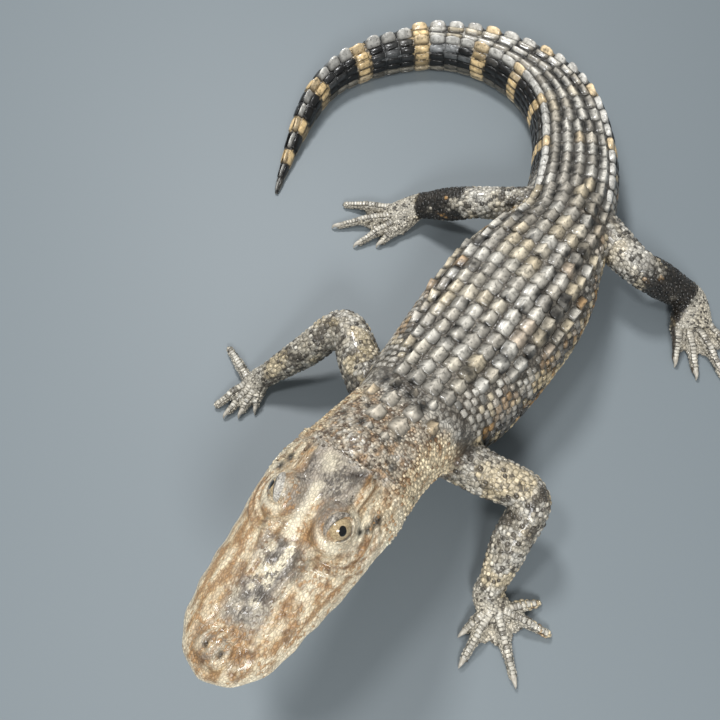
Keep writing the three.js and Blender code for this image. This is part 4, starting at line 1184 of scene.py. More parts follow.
# Bone-cored scutes under horn: harder and a little glossier than the hide, pitted, pale along the keel partly
# from wear and partly as painted highlight, with painted shade towards the rim. The alpha of "markings" is
# how dark the painted shade on the sides of the keel is.
def scuteMaterial(name, seamShade, gloss):
    material, tree = startMaterial(name)
    place = addNode(tree, "ShaderNodeTexCoord").outputs["Object"]
    marked = addNode(tree, "ShaderNodeAttribute", attribute_name="markings").outputs
    rim = addNode(tree, "ShaderNodeAttribute", attribute_name="rim").outputs["Fac"]
    keel = addNode(tree, "ShaderNodeAttribute", attribute_name="keel").outputs["Fac"]
    grain = addNode(tree, "ShaderNodeTexNoise", {"Vector": place, "Scale": 430.0, "Detail": 4.0})
    stain = addNode(tree, "ShaderNodeTexNoise", {"Vector": place, "Scale": 200.0, "Detail": 4.0})
    wavy = addMath(tree, "MULTIPLY_ADD", stain.outputs["Fac"], 0.5, rim)
    # painted shade: the colour is darkened towards the rim of each plate
    rimShade = addNode(tree, "ShaderNodeMapRange", {
        "Value": wavy.outputs[0], "From Min": 0.85, "From Max": 1.22, "To Min": 1.0, "To Max": 1.0 - seamShade,
    })
    shade = addNode(tree, "ShaderNodeMapRange", {
        "Value": stain.outputs["Fac"], "From Min": 0.34, "From Max": 0.66, "To Min": 0.6, "To Max": 1.24,
    })
    pits = addNode(tree, "ShaderNodeMapRange", {
        "Value": grain.outputs["Fac"], "From Min": 0.34, "From Max": 0.46, "To Min": 0.5, "To Max": 1.0,
    })
    pitted = addMath(tree, "MULTIPLY", shade.outputs[0], pits.outputs[0])
    amount = addMath(tree, "MULTIPLY", rimShade.outputs[0], pitted.outputs[0])
    # painted shade on the sides of the keel, as deep as the alpha of "markings" says
    valley = addNode(tree, "ShaderNodeMapRange", {
        "Value": keel, "From Max": 0.55, "To Min": 1.0, "To Max": 0.0,
    })
    keelSideShade = addMath(tree, "MULTIPLY", valley.outputs[0], marked["Alpha"])
    left = addNode(tree, "ShaderNodeMapRange", {"Value": keelSideShade.outputs[0], "To Min": 1.0, "To Max": 0.12})
    # pale keel: partly wear, partly painted highlight
    keelWearAndHighlight = addNode(tree, "ShaderNodeMapRange", {
        "Value": keel, "From Min": 0.5, "To Min": 1.0, "To Max": 1.28,
    })
    sides = addMath(tree, "MULTIPLY", left.outputs[0], keelWearAndHighlight.outputs[0])
    whole = addMath(tree, "MULTIPLY", amount.outputs[0], sides.outputs[0])
    final = addNode(tree, "ShaderNodeMix", {
        "Factor": 1.0, 6: marked["Color"], 7: whole.outputs[0],
    }, data_type="RGBA", blend_type="MULTIPLY")
    relief = addNode(tree, "ShaderNodeBump", {
        "Height": grain.outputs["Fac"], "Strength": 0.5, "Distance": 0.0005,
    })
    wet = addNode(tree, "ShaderNodeMapRange", {
        "Value": grain.outputs["Fac"], "From Min": 0.3, "From Max": 0.7,
        "To Min": gloss - 0.08, "To Max": gloss + 0.1,
    })
    shader = addNode(tree, "ShaderNodeBsdfPrincipled", {
        "Base Color": final.outputs[2], "Roughness": wet.outputs[0], "Normal": relief.outputs[0],
        "Specular IOR Level": 0.45, "Coat Weight": 0.35, "Coat Roughness": 0.08,
    })
    addNode(tree, "ShaderNodeOutputMaterial", {"Surface": shader.outputs[0]})
    return material


def asColour(code):
    return (*linear(code), 1.0)


# The eye: a clear wet cornea over a tan iris with fine radial threads and a black pupil, upright in the slit.
def eyeMaterial():
    material, tree = startMaterial("wetCorneaOverIris")
    gaze = addNode(tree, "ShaderNodeAttribute", attribute_name="gaze").outputs["Vector"]
    parts = addNode(tree, "ShaderNodeSeparateXYZ", {0: gaze})
    longer = addMath(tree, "MULTIPLY", parts.outputs[0], 1 / 0.29)
    wider = addMath(tree, "MULTIPLY", parts.outputs[1], 1 / 0.40)
    joined = addNode(tree, "ShaderNodeCombineXYZ", {0: longer.outputs[0], 1: wider.outputs[0]})
    away = addNode(tree, "ShaderNodeVectorMath", {0: joined.outputs[0]}, operation="LENGTH")
    threads = addNode(tree, "ShaderNodeTexNoise", {"Vector": gaze, "Scale": 9.0, "Detail": 5.0})
    iris = addNode(tree, "ShaderNodeValToRGB", {"Fac": threads.outputs["Fac"]})
    iris.color_ramp.elements[0].position, iris.color_ramp.elements[1].position = 0.3, 0.7
    iris.color_ramp.elements[0].color = asColour("8a7557")
    iris.color_ramp.elements[1].color = asColour("cdb890")
    edge = addNode(tree, "ShaderNodeMapRange", {
        "Value": away.outputs["Value"], "From Min": 0.92, "From Max": 1.06, "To Min": 1.0, "To Max": 0.0,
    })
    coloured = addNode(tree, "ShaderNodeMix", {
        "Factor": edge.outputs[0], 6: iris.outputs[0], 7: asColour("060504"),
    }, data_type="RGBA")
    shader = addNode(tree, "ShaderNodeBsdfPrincipled", {
        "Base Color": coloured.outputs[2], "Roughness": 0.12, "Specular IOR Level": 0.5,
        "Coat Weight": 1.0, "Coat Roughness": 0.02, "Coat IOR": 1.38,
    })
    addNode(tree, "ShaderNodeOutputMaterial", {"Surface": shader.outputs[0]})
    return material


# Claws: translucent pale horn with growth streaks along them, dull from wear.
def clawMaterial():
    material, tree = startMaterial("paleClawHorn")
    place = addNode(tree, "ShaderNodeTexCoord").outputs["Object"]
    streak = addNode(tree, "ShaderNodeTexNoise", {"Vector": place, "Scale": 520.0, "Detail": 3.0})
    ramp = addNode(tree, "ShaderNodeValToRGB", {"Fac": streak.outputs["Fac"]})
    ramp.color_ramp.elements[0].color = asColour("8d8373")
    ramp.color_ramp.elements[1].color = asColour("e2dccf")
    shader = addNode(tree, "ShaderNodeBsdfPrincipled", {
        "Base Color": ramp.outputs[0], "Roughness": 0.35, "Specular IOR Level": 0.5,
    })
    addNode(tree, "ShaderNodeOutputMaterial", {"Surface": shader.outputs[0]})
    return material


# Scales


def plateShape(name, across, along, height, keeled=False):
    # one plate a unit wide and long; height(x, y) gives its top, and its rim is tucked under the skin
    points, rims, keels, faces = [], [], [], []
    for y in along:
        for x in across:
            corner = 1 - 0.16 * (2 * x) ** 2 * (2 * y) ** 2
            edge = max(abs(2 * x), abs(2 * y))
            points.append((x * corner, y * corner, height(x, y) if edge < 0.999 else -0.3))
            rims.append(edge)
            ridge = math.exp(-((x / 0.16) ** 2)) * (1 - 0.5 * max(0.0, edge - 0.84) / 0.16)
            keels.append(ridge if keeled else 0.55)
    wide = len(across)
    for i in range(len(along) - 1):
        for j in range(wide - 1):
            a = i * wide + j
            faces.append([a, a + 1, a + 1 + wide, a + wide])
    border = list(range(wide)) + [wide * i + wide - 1 for i in range(1, len(along))]
    border += list(range(len(points) - 2, wide * (len(along) - 1) - 1, -1))
    border += [wide * i for i in range(len(along) - 2, 0, -1)]
    faces.append(border[::-1])
    mesh = bpy.data.meshes.new(name)
    mesh.from_pydata(points, [], faces)
    for label, values in (("rim", rims), ("keel", keels)):
        layer = mesh.attributes.new(label, "FLOAT", "POINT")
        layer.data.foreach_set("value", np.array(values, np.float32))
    patch = mesh.attributes.new("patch", "FLOAT_VECTOR", "POINT")
    patch.data.foreach_set("vector", np.array([(x, y, 0) for x, y, _ in points], np.float32).ravel())
    mesh.polygons.foreach_set("use_smooth", [True] * len(mesh.polygons))
    shape = bpy.data.objects.new(name, mesh)
    bpy.context.collection.objects.link(shape)
    return shape


def scaleTree():
    # points that carry "turn", "size" and "markings" get one plate each
    tree = bpy.data.node_groups.new("scalesOnPoints", "GeometryNodeTree")
    for name, kind in (("Geometry", "NodeSocketGeometry"), ("Plate", "NodeSocketObject"),
                       ("Horn", "NodeSocketMaterial"), ("Size Spread", "NodeSocketFloat"),
                       ("Tilt Spread", "NodeSocketFloat"), ("Seed", "NodeSocketInt")):
        tree.interface.new_socket(name, in_out="INPUT", socket_type=kind)
    tree.interface.new_socket("Geometry", in_out="OUTPUT", socket_type="NodeSocketGeometry")
    given = addNode(tree, "NodeGroupInput").outputs
    turn = addNode(tree, "GeometryNodeInputNamedAttribute", {"Name": "turn"}, data_type="FLOAT_VECTOR")
    size = addNode(tree, "GeometryNodeInputNamedAttribute", {"Name": "size"}, data_type="FLOAT_VECTOR")
    low = addMath(tree, "SUBTRACT", 1.0, given["Size Spread"])
    high = addMath(tree, "ADD", 1.0, given["Size Spread"])
    spread = addNode(tree, "FunctionNodeRandomValue", {
        "Min": low.outputs[0], "Max": high.outputs[0], "Seed": given["Seed"],
    }, data_type="FLOAT")
    grown = addNode(tree, "ShaderNodeVectorMath", {
        0: size.outputs[0], "Scale": spread.outputs[1],
    }, operation="SCALE")
    back = addMath(tree, "MULTIPLY", given["Tilt Spread"], -1.0)
    lowTilt = addNode(tree, "ShaderNodeCombineXYZ", {
        0: back.outputs[0], 1: back.outputs[0], 2: back.outputs[0],
    })
    highTilt = addNode(tree, "ShaderNodeCombineXYZ", {
        0: given["Tilt Spread"], 1: given["Tilt Spread"], 2: given["Tilt Spread"],
    })
    tilt = addNode(tree, "FunctionNodeRandomValue", {
        "Min": lowTilt.outputs[0], "Max": highTilt.outputs[0], "Seed": given["Seed"],
    }, data_type="FLOAT_VECTOR")
    base = addNode(tree, "FunctionNodeEulerToRotation", {0: turn.outputs[0]})
    nudge = addNode(tree, "FunctionNodeEulerToRotation", {0: tilt.outputs[0]})
    turned = addNode(tree, "FunctionNodeRotateRotation", {
        "Rotation": base.outputs[0], "Rotate By": nudge.outputs[0],
    }, rotation_space="LOCAL")
    plate = addNode(tree, "GeometryNodeObjectInfo", {"Object": given["Plate"]}, transform_space="ORIGINAL")
    laid = addNode(tree, "GeometryNodeInstanceOnPoints", {
        "Points": given["Geometry"], "Instance": plate.outputs["Geometry"],
        "Rotation": turned.outputs[0], "Scale": grown.outputs[0],
    })
    real = addNode(tree, "GeometryNodeRealizeInstances", {0: laid.outputs[0]})
    dressed = addNode(tree, "GeometryNodeSetMaterial", {
        "Geometry": real.outputs[0], "Material": given["Horn"],
    })
    addNode(tree, "NodeGroupOutput", {0: dressed.outputs[0]})
    return tree


def setInputs(modifier, values):
    for item in modifier.node_group.interface.items_tree:
        if item.in_out == "INPUT" and item.name in values:
            modifier[item.identifier] = values[item.name]


def eulerOf(side, along, out):
    # turns from the three axes of each plate
    turn = np.empty((len(side), 3))
    turn[:, 1] = np.arcsin(np.clip(-side[:, 2], -1, 1))
    turn[:, 0] = np.arctan2(along[:, 2], out[:, 2])
    turn[:, 2] = np.arctan2(side[:, 1], side[:, 0])
    return turn


def laidScales(name, tree, plate, horn, places, along, normals, sizes, colours, keelSideShadeDepth, roots, spread, tilt,
               seed):
    out = unit(normals)
    side = unit(np.cross(along, out))
    ahead = np.cross(out, side)
    cloud = bpy.data.meshes.new(name)
    cloud.from_pydata((places * mm).tolist(), [], [])
    for label, data in (("turn", eulerOf(side, ahead, out)), ("size", sizes * mm), ("root", roots)):
        layer = cloud.attributes.new(label, "FLOAT_VECTOR", "POINT")
        layer.data.foreach_set("vector", np.asarray(data, np.float32).ravel())
    paint(cloud, colours, "markings", keelSideShadeDepth)
    piece = bpy.data.objects.new(name, cloud)
    bpy.context.collection.objects.link(piece)
    modifier = piece.modifiers.new("scales", "NODES")
    modifier.node_group = tree
    setInputs(modifier, {
        "Plate": plate, "Horn": horn, "Size Spread": spread, "Tilt Spread": tilt, "Seed": seed,
    })
    piece.data.update()
    whole = bpy.data.meshes.new_from_object(piece.evaluated_get(bpy.context.evaluated_depsgraph_get()))
    piece.modifiers.clear()
    piece.data = whole
    bpy.data.meshes.remove(cloud)
    whole.name = name
    points = pointsOf(whole)
    points[:, 2] = np.maximum(points[:, 2], 0.0001)  # nothing reaches under the floor
    putPoints(whole, points)
    patchMap(whole)
    print(name + ":", sum(len(face.vertices) - 2 for face in whole.polygons), "triangles")
    return piece


def darkenPockets(mesh):
    # the painted shadow of the gaps between the scutes runs over the edges of their neighbours
    s, arc, _ = bodyCoords(pointsOf(mesh) / mm - frameShift)
    layer = mesh.attributes["markings"]
    flat = np.empty(len(mesh.vertices) * 4, np.float32)
    layer.data.foreach_get("color", flat)
    colours = flat.reshape(-1, 4)
    colours[:, :3] = mixed(colours[:, :3], "blackSpotAndShadow", nearAny(s, arc, gapShadows + cornerPockets()) * 0.92)
    layer.data.foreach_set("color", colours.ravel())


def cornerPockets():
    # smaller spots of painted shadow, where the corners of four scutes meet, and down the valleys of the
    # tail's base
    rng = np.random.default_rng(11)
    places = []
    for row, count in enumerate(backLayout["across"]):
        s = backLayout["first"] + (row + 0.5) * backLayout["pitch"]
        for j in range(count + 1):
            arc = (j - count / 2) * backLayout["width"]
            if rng.random() < 0.16 + 0.010 * abs(arc):
                places.append((s + rng.normal(0, 2), arc + rng.normal(0, 0.6), rng.uniform(1.5, 2.5)))
    for s in ringPlaces()[:13]:
        half = halfWidth(s) * (0.80 - 0.3 * smooth(s, 60, 300))
        count = max(int(round(2 * half / 10.5)), 1)
        for j in range(count + 1):
            if rng.random() < 0.62:
                arc = (j - count / 2) * (2 * half / count) * 0.88
                places.append((s + rng.normal(0, 0.8), arc, rng.uniform(2.2, 3.2)))
    return places


def patchMap(mesh):
    # each scale is a small patch at its root's place on the skin's own unwrap
    count = len(mesh.vertices)
    roots, patches = np.empty(count * 3, np.float32), np.empty(count * 3, np.float32)
    mesh.attributes["root"].data.foreach_get("vector", roots)
    mesh.attributes["patch"].data.foreach_get("vector", patches)
    spots = roots.reshape(-1, 3)[:, :2] + 0.003 * patches.reshape(-1, 3)[:, :2]
    corner = np.empty(len(mesh.loops), np.int32)
    mesh.loops.foreach_get("vertex_index", corner)
    layer = mesh.uv_layers.new(name="OFBake")
    layer.data.foreach_set("uv", spots[corner].astype(np.float32).ravel())


def unwrapOf(s, arc):
    # the skin's own unwrap: along the spine by across the skin
    return np.stack([0.02 + 0.96 * (s + 270) / 785, 0.5 + arc / 260, np.zeros_like(s)], -1)


plates = {
    "scuteAcross": [-0.5, -0.42, -0.27, -0.11, 0, 0.11, 0.27, 0.42, 0.5],
    "scuteAlong": [-0.5, -0.43, -0.2, 0.05, 0.28, 0.43, 0.5],
    "scaleAcross": [-0.5, -0.36, 0, 0.36, 0.5],
    "pebbleAcross": [-0.5, -0.22, 0.22, 0.5],
    "crestAcross": [-0.5, -0.32, -0.13, 0, 0.13, 0.32, 0.5],
    "crestAlong": [-0.5, -0.42, -0.30, -0.12, 0.12, 0.30, 0.44, 0.5],
}


def scuteHeight(x, y):
    ridge = math.exp(-((x / 0.12) ** 2)) * (0.65 + 0.5 * (y + 0.5) - 0.8 * max(0.0, y - 0.3))
    return 0.30 * (1 - (2 * abs(x)) ** 2 * 0.6) * (1 - (2 * abs(y)) ** 4 * 0.3) + 0.62 * ridge


def scaleHeight(x, y):
    return 0.5 * (1 - (2 * x) ** 2 * 0.5) * (1 - (2 * y) ** 2 * 0.4) + 0.12 * (y + 0.5)


def pebbleHeight(x, y):
    return 0.5 - 0.5 * (x * x + y * y)


def crestHeight(x, y):
    # a rounded lobe with a level top, that thickens towards its foot
    rise = math.sin(min(1.0, (y + 0.5) / 0.34) * math.pi / 2)
    fall = 1 - 0.6 * max(0.0, (y - 0.12) / 0.38) ** 2
    return 0.12 + 0.88 * rise * fall * math.exp(-((x / 0.24) ** 2))


def snapped(tree, places, limit):
    # moves scales onto the finished skin, and drops those whose place the skin has left
    spots, normals, kept = [], [], []
    for index, place in enumerate(places):
        found, normal, _, away = tree.find_nearest(Vector(place * mm))
        if found is not None and away < limit * mm:
            spots.append(np.array(found) / mm)
            normals.append(np.array(normal))
            kept.append(index)
    return np.array(spots), np.array(normals), np.array(kept, int)


backLayout = {
    "first": -189.2, "pitch": 11.2, "width": 11.2,
    "across": [4, 4, 6, 6, 8, 8, 8, 10, 10, 10, 10, 10, 8, 8, 8, 6, 6, 6, 6],
    "flankPitch": 5.6, "flankWidth": 6.2,
    "scute": (12.0, 12.4, 3.9), "flankScale": (6.4, 5.4, 2.3),  # width, length and height
    "nuchal": [
        (-228, -8, 13), (-228, 8, 13), (-214, -22, 9.5), (-214, -8, 12.5), (-214, 8, 12.5), (-214, 22, 9.5),
        (-240, -5, 7), (-240, 6, 7), (-201, -13, 8), (-201, 13, 8), (-201, 0, 7),
    ],
}


def trunkScales(rng):
    big, small = [], []
    for row, count in enumerate(backLayout["across"]):
        s = backLayout["first"] + row * backLayout["pitch"]
        for i in range(count):
            place = i - (count - 1) / 2
            edge = 0.84 if abs(place) >= (count - 1) / 2 else 1.0
            big.append((s + rng.normal(0, 0.55), place * backLayout["width"] + rng.normal(0, 0.4), edge,
                        rng.uniform(0.75, 1.25)))
        reachArc = arcRows(np.array([s]))[0, 82]
        for half in (0, 1):
            at = s + half * backLayout["flankPitch"]
            start = (count / 2) * backLayout["width"] + backLayout["flankWidth"] * (0.45 + 0.5 * half)
            for k in range(40):
                arc = start + k * backLayout["flankWidth"]
                if arc > reachArc:
                    break
                for side in (1, -1):
                    along, across = at + rng.normal(0, 0.6), side * arc + rng.normal(0, 0.5)
                    small.append((along, across, rng.uniform(0.75, 1.1), 1.0))
    return np.array(big), np.array(small)


# Rings of the tail: number and place along it, so that each pale band falls on a ring.
tailRings = [
    (0, 23.5), (1, 38), (4, 77), (6, 106), (8, 135), (10, 160), (12, 186), (15, 234), (19, 295), (23, 353),
    (27, 405), (30, 446), (32, 477), (34, 504),
]
tailLayout = {
    "single": 300, "paired": 6.0, "tallest": 9.0, "topWidth": 10.5, "sideWidth": 6.2, "topHeight": 3.2,
}


def ringPlaces():
    return np.interp(np.arange(tailRings[-1][0] + 1), *zip(*tailRings))


def tailScales(rng):
    tops, sides, crest = [], [], []
    places = ringPlaces()
    for s, pitch in zip(places, np.gradient(places)):
        half = halfWidth(s)
        single = s >= tailLayout["single"]
        crestArc = 0.0 if single else half * (0.80 - 0.3 * smooth(s, 60, 300))
        full = arcRows(np.array([s]))[0, 110]
        if single:
            tall = tailLayout["tallest"] * (1 - 0.75 * smooth(s, 370, body["tailTip"]))
        else:
            tall = tailLayout["paired"] * smooth(s, -60, 200)
        for side in ((0,) if single else (1, -1)):
            crest.append((s, side * crestArc, pitch, tall * rng.uniform(0.88, 1.08), min(half * 0.75, 8.0)))
        inner = 0 if single else max(int(round(2 * crestArc / tailLayout["topWidth"])), 1)
        for i in range(inner):
            arc = (i - (inner - 1) / 2) * (2 * crestArc / inner) * 0.88
            tops.append((s, arc, 2 * crestArc / inner * 0.86, pitch))
        start = crestArc + min(half * 0.3, 4.0)
        count = max(int((full - start) / tailLayout["sideWidth"]), 2)
        wide = (full - start) / count
        for side in (1, -1):
            for k in range(count):
                parts = (-0.25, 0.25) if s < 60 else (0.0,)  # two rows to a ring at the base
                for part in parts:
                    at, arc = s + part * pitch + rng.normal(0, 0.3), side * (start + (k + 0.5) * wide)
                    sides.append((at, arc, wide * 0.95, pitch / len(parts)))
    return np.array(tops), np.array(sides), np.array(crest)


def scattered(skin, where, rng):
    # places for the pebbles of neck, cheeks and limbs, no two closer than the spacing there allows
    points, faces = pointsOf(skin.data) / mm - frameShift, trianglesOf(skin.data)
    first = faces[:, 0]
    bare = 99  # where no pebble grows
    spacing = np.full(len(points), float(bare))
    arc = np.abs(where["arc"])
    necked = where["neck"] > 0.5
    spacing[necked] = (2.1 + 1.1 * smooth(arc, 24, 60) + 0.8 * smooth(arc, 70, 100))[necked]
    local = where["local"]
    cheek = (where["onHead"] > 0.5) & (np.abs(local[:, 0]) > 24)
    cheek &= local[:, 1] < 22 - 6 * smooth(local[:, 2], 4, 14)
    spacing[cheek] = 2.3
    onLimb = where["limb"] > 0.5
    along = where["along"]
    spacing[onLimb] = (3.5 - 0.7 * smooth(along, 0.35, 0.75) - 0.9 * smooth(along, 0.9, 1.0))[onLimb]
    spacing[onLimb & (points[:, 2] < 1.2)] = bare
    grown = spacing[first] < bare / 2
    faces, first = faces[grown], first[grown]
    faces, first = np.concatenate([faces, faces]), np.concatenate([first, first])
    shares = rng.random((len(faces), 2))
    shares = np.where(shares.sum(axis=1, keepdims=True) > 1, 1 - shares, shares)
    a, b, c = points[faces[:, 0]], points[faces[:, 1]], points[faces[:, 2]]
    spots = a + (b - a) * shares[:, :1] + (c - a) * shares[:, 1:]
    gaps = spacing[first]
    tree = KDTree(len(spots))
    for i, place in enumerate(spots):
        tree.insert(place, i)
    tree.balance()
    free = np.ones(len(spots), bool)
    kept = []
    for i in rng.permutation(len(spots)):
        if free[i]:
            kept.append(i)
            for _, other, _ in tree.find_range(spots[i], gaps[i]):
                free[other] = False
    kept = np.array(kept)
    return spots[kept], normalsOf(skin.data)[first[kept]], gaps[kept], first[kept]


def trianglesOf(mesh):
    mesh.calc_loop_triangles()
    flat = np.empty(len(mesh.loop_triangles) * 3, np.int32)
    mesh.loop_triangles.foreach_get("vertices", flat)
    return flat.reshape(-1, 3)


def digitBands():
    # the broad scales that lie one behind the other on top of each digit
    spots, ways, wides = [], [], []
    for limb in limbs.values():
        plan = footPlan(limb)
        for knuckle, end in zip(plan["knuckles"], plan["ends"]):
            long = np.linalg.norm(end - knuckle)
            for place in np.arange(1.5, long + 0.5, 2.5):
                share = place / long
                centre = knuckle + (end - knuckle) * share
                centre[2] = 8.4 - 3.6 * share
                spots.append(centre)
                ways.append(unit((end - knuckle) * [1, 1, -0.1]))
                wides.append(5.6 - 1.9 * share)
    return np.array(spots), np.array(ways), np.array(wides)


def makeScales(skin, materials, where):
    rng = np.random.default_rng(7)
    surface = BVHTree.FromPolygons(
        [tuple(v.co) for v in skin.data.vertices], [tuple(p.vertices) for p in skin.data.polygons],
    )
    tree = scaleTree()
    scute = plateShape("scuteShape", plates["scuteAcross"], plates["scuteAlong"], scuteHeight, True)
    scale = plateShape("scaleShape", plates["scaleAcross"], plates["scaleAcross"], scaleHeight)
    pebble = plateShape("pebbleShape", plates["pebbleAcross"], plates["pebbleAcross"], pebbleHeight)
    fin = plateShape("crestShape", plates["crestAcross"], plates["crestAlong"], crestHeight)
    pieces = []

    def add(*given):
        pieces.append(laidScales(given[0], tree, *given[1:]))

    def lay(name, plate, spots, sizes, tone, limit, spread, tilt, seed, lean=0.0):
        s, arc = spots[:, 0], spots[:, 1]
        places, along = onBody(s, arc)
        found, normals, kept = snapped(surface, shifted(places), limit)
        colours = tone(found - frameShift, s[kept], arc[kept])
        # how dark the painted shade on the sides of each scute's keel is
        keelSideShadeDepth = 0.35 + 0.4 * noiseAt(found * 1.7, 1.0, 46) + 0.25 * smooth(s[kept], -40, 40)
        add(name, plate, materials["scute"], found, along[kept], unit(normals + np.array([0, 0, lean])),
            sizes[kept], colours, keelSideShadeDepth, unwrapOf(s[kept], arc[kept]), spread, tilt, seed)
        if plate is scute:
            darkenPockets(pieces[-1].data)

    big, small = trunkScales(rng)
    wide, long, high = backLayout["scute"]
    sizes = np.stack([big[:, 2] * wide, big[:, 2] * long, high * big[:, 3]], -1)
    lay("dorsalScutes", scute, big, sizes, scuteTone, 4, 0.07, 0.10, 3)
    shield = np.array(backLayout["nuchal"], float)
    sizes = np.stack([shield[:, 2] * 0.95, shield[:, 2], 0.37 * shield[:, 2]], -1)
    lay("nuchalScutes", scute, shield, sizes, nuchalTone, 6, 0.06, 0.05, 2)
    wide, long, high = backLayout["flankScale"]
    sizes = np.stack([small[:, 2] * wide, small[:, 2] * long, high * small[:, 3]], -1)
    lay("flankScales", scale, small, sizes, flankTone, 3, 0.14, 0.10, 4)
    tops, sides, crest = tailScales(rng)
    sizes = np.stack([tops[:, 2] * 1.08, tops[:, 3] * 1.05, np.full(len(tops), tailLayout["topHeight"])], -1)
    lay("tailTopScales", scute, tops, sizes, scuteTone, 4, 0.05, 0.04, 5)
    thick = 1.6 * (1 - 0.6 * smooth(sides[:, 0], 300, 512))
    sizes = np.stack([sides[:, 2], sides[:, 3] * 0.97, thick], -1)
    lay("tailSideScales", scale, sides, sizes, flankTone, 4, 0.05, 0.03, 6)
    sizes = np.stack([crest[:, 4], crest[:, 2], crest[:, 3] * 1.05], -1)
    lay("tailCrest", fin, crest, sizes, crestTone, 5, 0.06, 0.04, 8, lean=1.4)

    spots, normals, gaps, first = scattered(skin, where, rng)
    named = {key: value[first] for key, value in where.items()}
    colour, veins, share = markings(spots, named)
    pick = rng.random(len(spots))
    dark = smooth(pick + 0.8 * (noiseAt(spots, 5.0, 61) - 0.5), 0.98 - share, 1.04 - share)
    colour = mixed(colour, veins, dark * 0.9) * (0.8 + 0.4 * rng.random(len(spots)))[:, None]
    ways = np.where(named["limb"][:, None] > 0.5, named["ways"], spineFrame(named["s"])[1])
    longer = np.where(named["limb"] > 0.5, 1.18, 1.04)
    sizes = np.stack([gaps * 1.06, gaps * longer, gaps * 0.42], -1)
    onLimb, fore = named["limb"] > 0.5, named["which"] < 2
    parts = (("neckPebbles", ~onLimb), ("foreLimbScales", onLimb & fore), ("hindLimbScales", onLimb & ~fore))
    for name, here in parts:
        roots = unwrapOf(named["s"], named["arc"])
        if name != "neckPebbles":
            roots = np.stack([
                0.03 + 0.94 * named["along"],
                0.25 + 0.5 * (named["which"] % 2) + 0.23 * named["turn"] / np.pi,
                np.zeros(len(spots)),
            ], -1)
        add(name, pebble, materials["scute"], shifted(spots[here]), ways[here], normals[here], sizes[here],
            colour[here], None, roots[here], 0.14, 0.10, 9)

    bands, ways, wides = digitBands()
    found, normals, kept = snapped(surface, shifted(bands), 4)
    tone = mixed(plain("foot", found), "scutePale", rng.random(len(found)) * 0.7)
    tone = mixed(tone, "limbDark", (rng.random(len(found)) > 0.8) * 0.6)
    sizes = np.stack([wides[kept], np.full(len(kept), 2.9), np.full(len(kept), 1.3)], -1)
    roots = np.stack([found[:, 0] / 450 + 0.5, found[:, 1] / 600 + 0.5, np.zeros(len(found))], -1)
    add("digitScutes", scale, materials["scute"], found, ways[kept], unit(normals + [0, 0, 0.8]), sizes, tone,
        None, roots, 0.08, 0.06, 10)
    for shape in (scute, scale, pebble, fin):
        bpy.data.objects.remove(shape)
    return pieces


def scuteTone(points, s, arc):
    colour = bodyTone(points, s, arc)
    pick = noiseAt(points * 3.1, 1.0, 41)
    colour = mixed(colour, "scutePale", (pick > 0.55) * 0.6)
    colour = mixed(colour, "grey", (pick < 0.34) * 0.5)
    colour = mixed(colour, "tan", nearAny(s, arc, stains) * 0.75)
    colour = mixed(colour, "cream", smooth(noiseAt(points, 16.0, 45), 0.55, 0.75) * 0.5)
    # the painted shadow of the gaps also darkens the scutes beside them
    return mixed(colour, "blackSpotAndShadow", nearAny(s, arc, gapShadows) * 0.45)


def nuchalTone(points, s, arc):
    colour = mixed(plain("nape", points), "scutePale", noiseAt(points * 3.1, 1.0, 42) * 0.8)
    return mixed(colour, "napeTan", smooth(np.abs(arc), 12, 24) * 0.6)


def flankTone(points, s, arc):
    colour = bodyTone(points, s, arc)
    pick = noiseAt(points * 3.7, 1.0, 43)
    colour = mixed(colour, "cream", (pick > 0.68) * 0.5 * (s < 60))
    colour = mixed(colour, "blackSpotAndShadow", (pick < 0.3) * 0.6)
    return mixed(colour, "tan", nearAny(s, arc, stains) * 0.6)


def crestTone(points, s, arc):
    colour = mixed(bodyTone(points, s, arc), "crest", 0.6 + 0.4 * noiseAt(points * 2.3, 1.0, 44))
    band = np.zeros(len(points))
    for place, half in tailBands:
        band = np.maximum(band, 1 - smooth(np.abs(s - place), half, half + 2))
    return mixed(colour, "band", band * 0.75)


# Eyes, lids and claws

lidSettings = {"rows": 20, "around": 72, "thick": 1.5, "edge": 0.7}


def eyeball(side):
    gaze, along, over = eyeAxes(side)
    leanCos, leanSin = math.cos(math.radians(eye["lean"])), math.sin(math.radians(eye["lean"]))
    rings, gazes = [], []
    for theta in np.radians(np.concatenate([np.linspace(0.4, 70, 40), np.linspace(75, 179, 14)])):
        ring = []
        for phi in np.linspace(0, 2 * np.pi, 64, endpoint=False):
            a, b, c = math.sin(theta) * math.cos(phi), math.sin(theta) * math.sin(phi), math.cos(theta)
            ring.append(a * along + b * over + c * gaze)
            gazes.append((a * leanCos + b * leanSin, b * leanCos - a * leanSin, c))
        rings.append(ring)
    centre = np.array([side * eye[side]["x"], eye["y"], eye["z"]])
    rings = np.array(rings)
    points, faces = loft(centre + rings * (eye["radius"] - 0.1))
    gazes += [(0, 0, 1), (0, 0, -1)]
    name = "eyeball" + ("Right" if side > 0 else "Left")
    mesh = meshOf(name, [(shifted(fromHead(points)) * mm, faces if side > 0 else [f[::-1] for f in faces])])
    layer = mesh.attributes.new("gaze", "FLOAT_VECTOR", "POINT")
    layer.data.foreach_set("vector", np.array(gazes, np.float32).ravel())
    return mesh


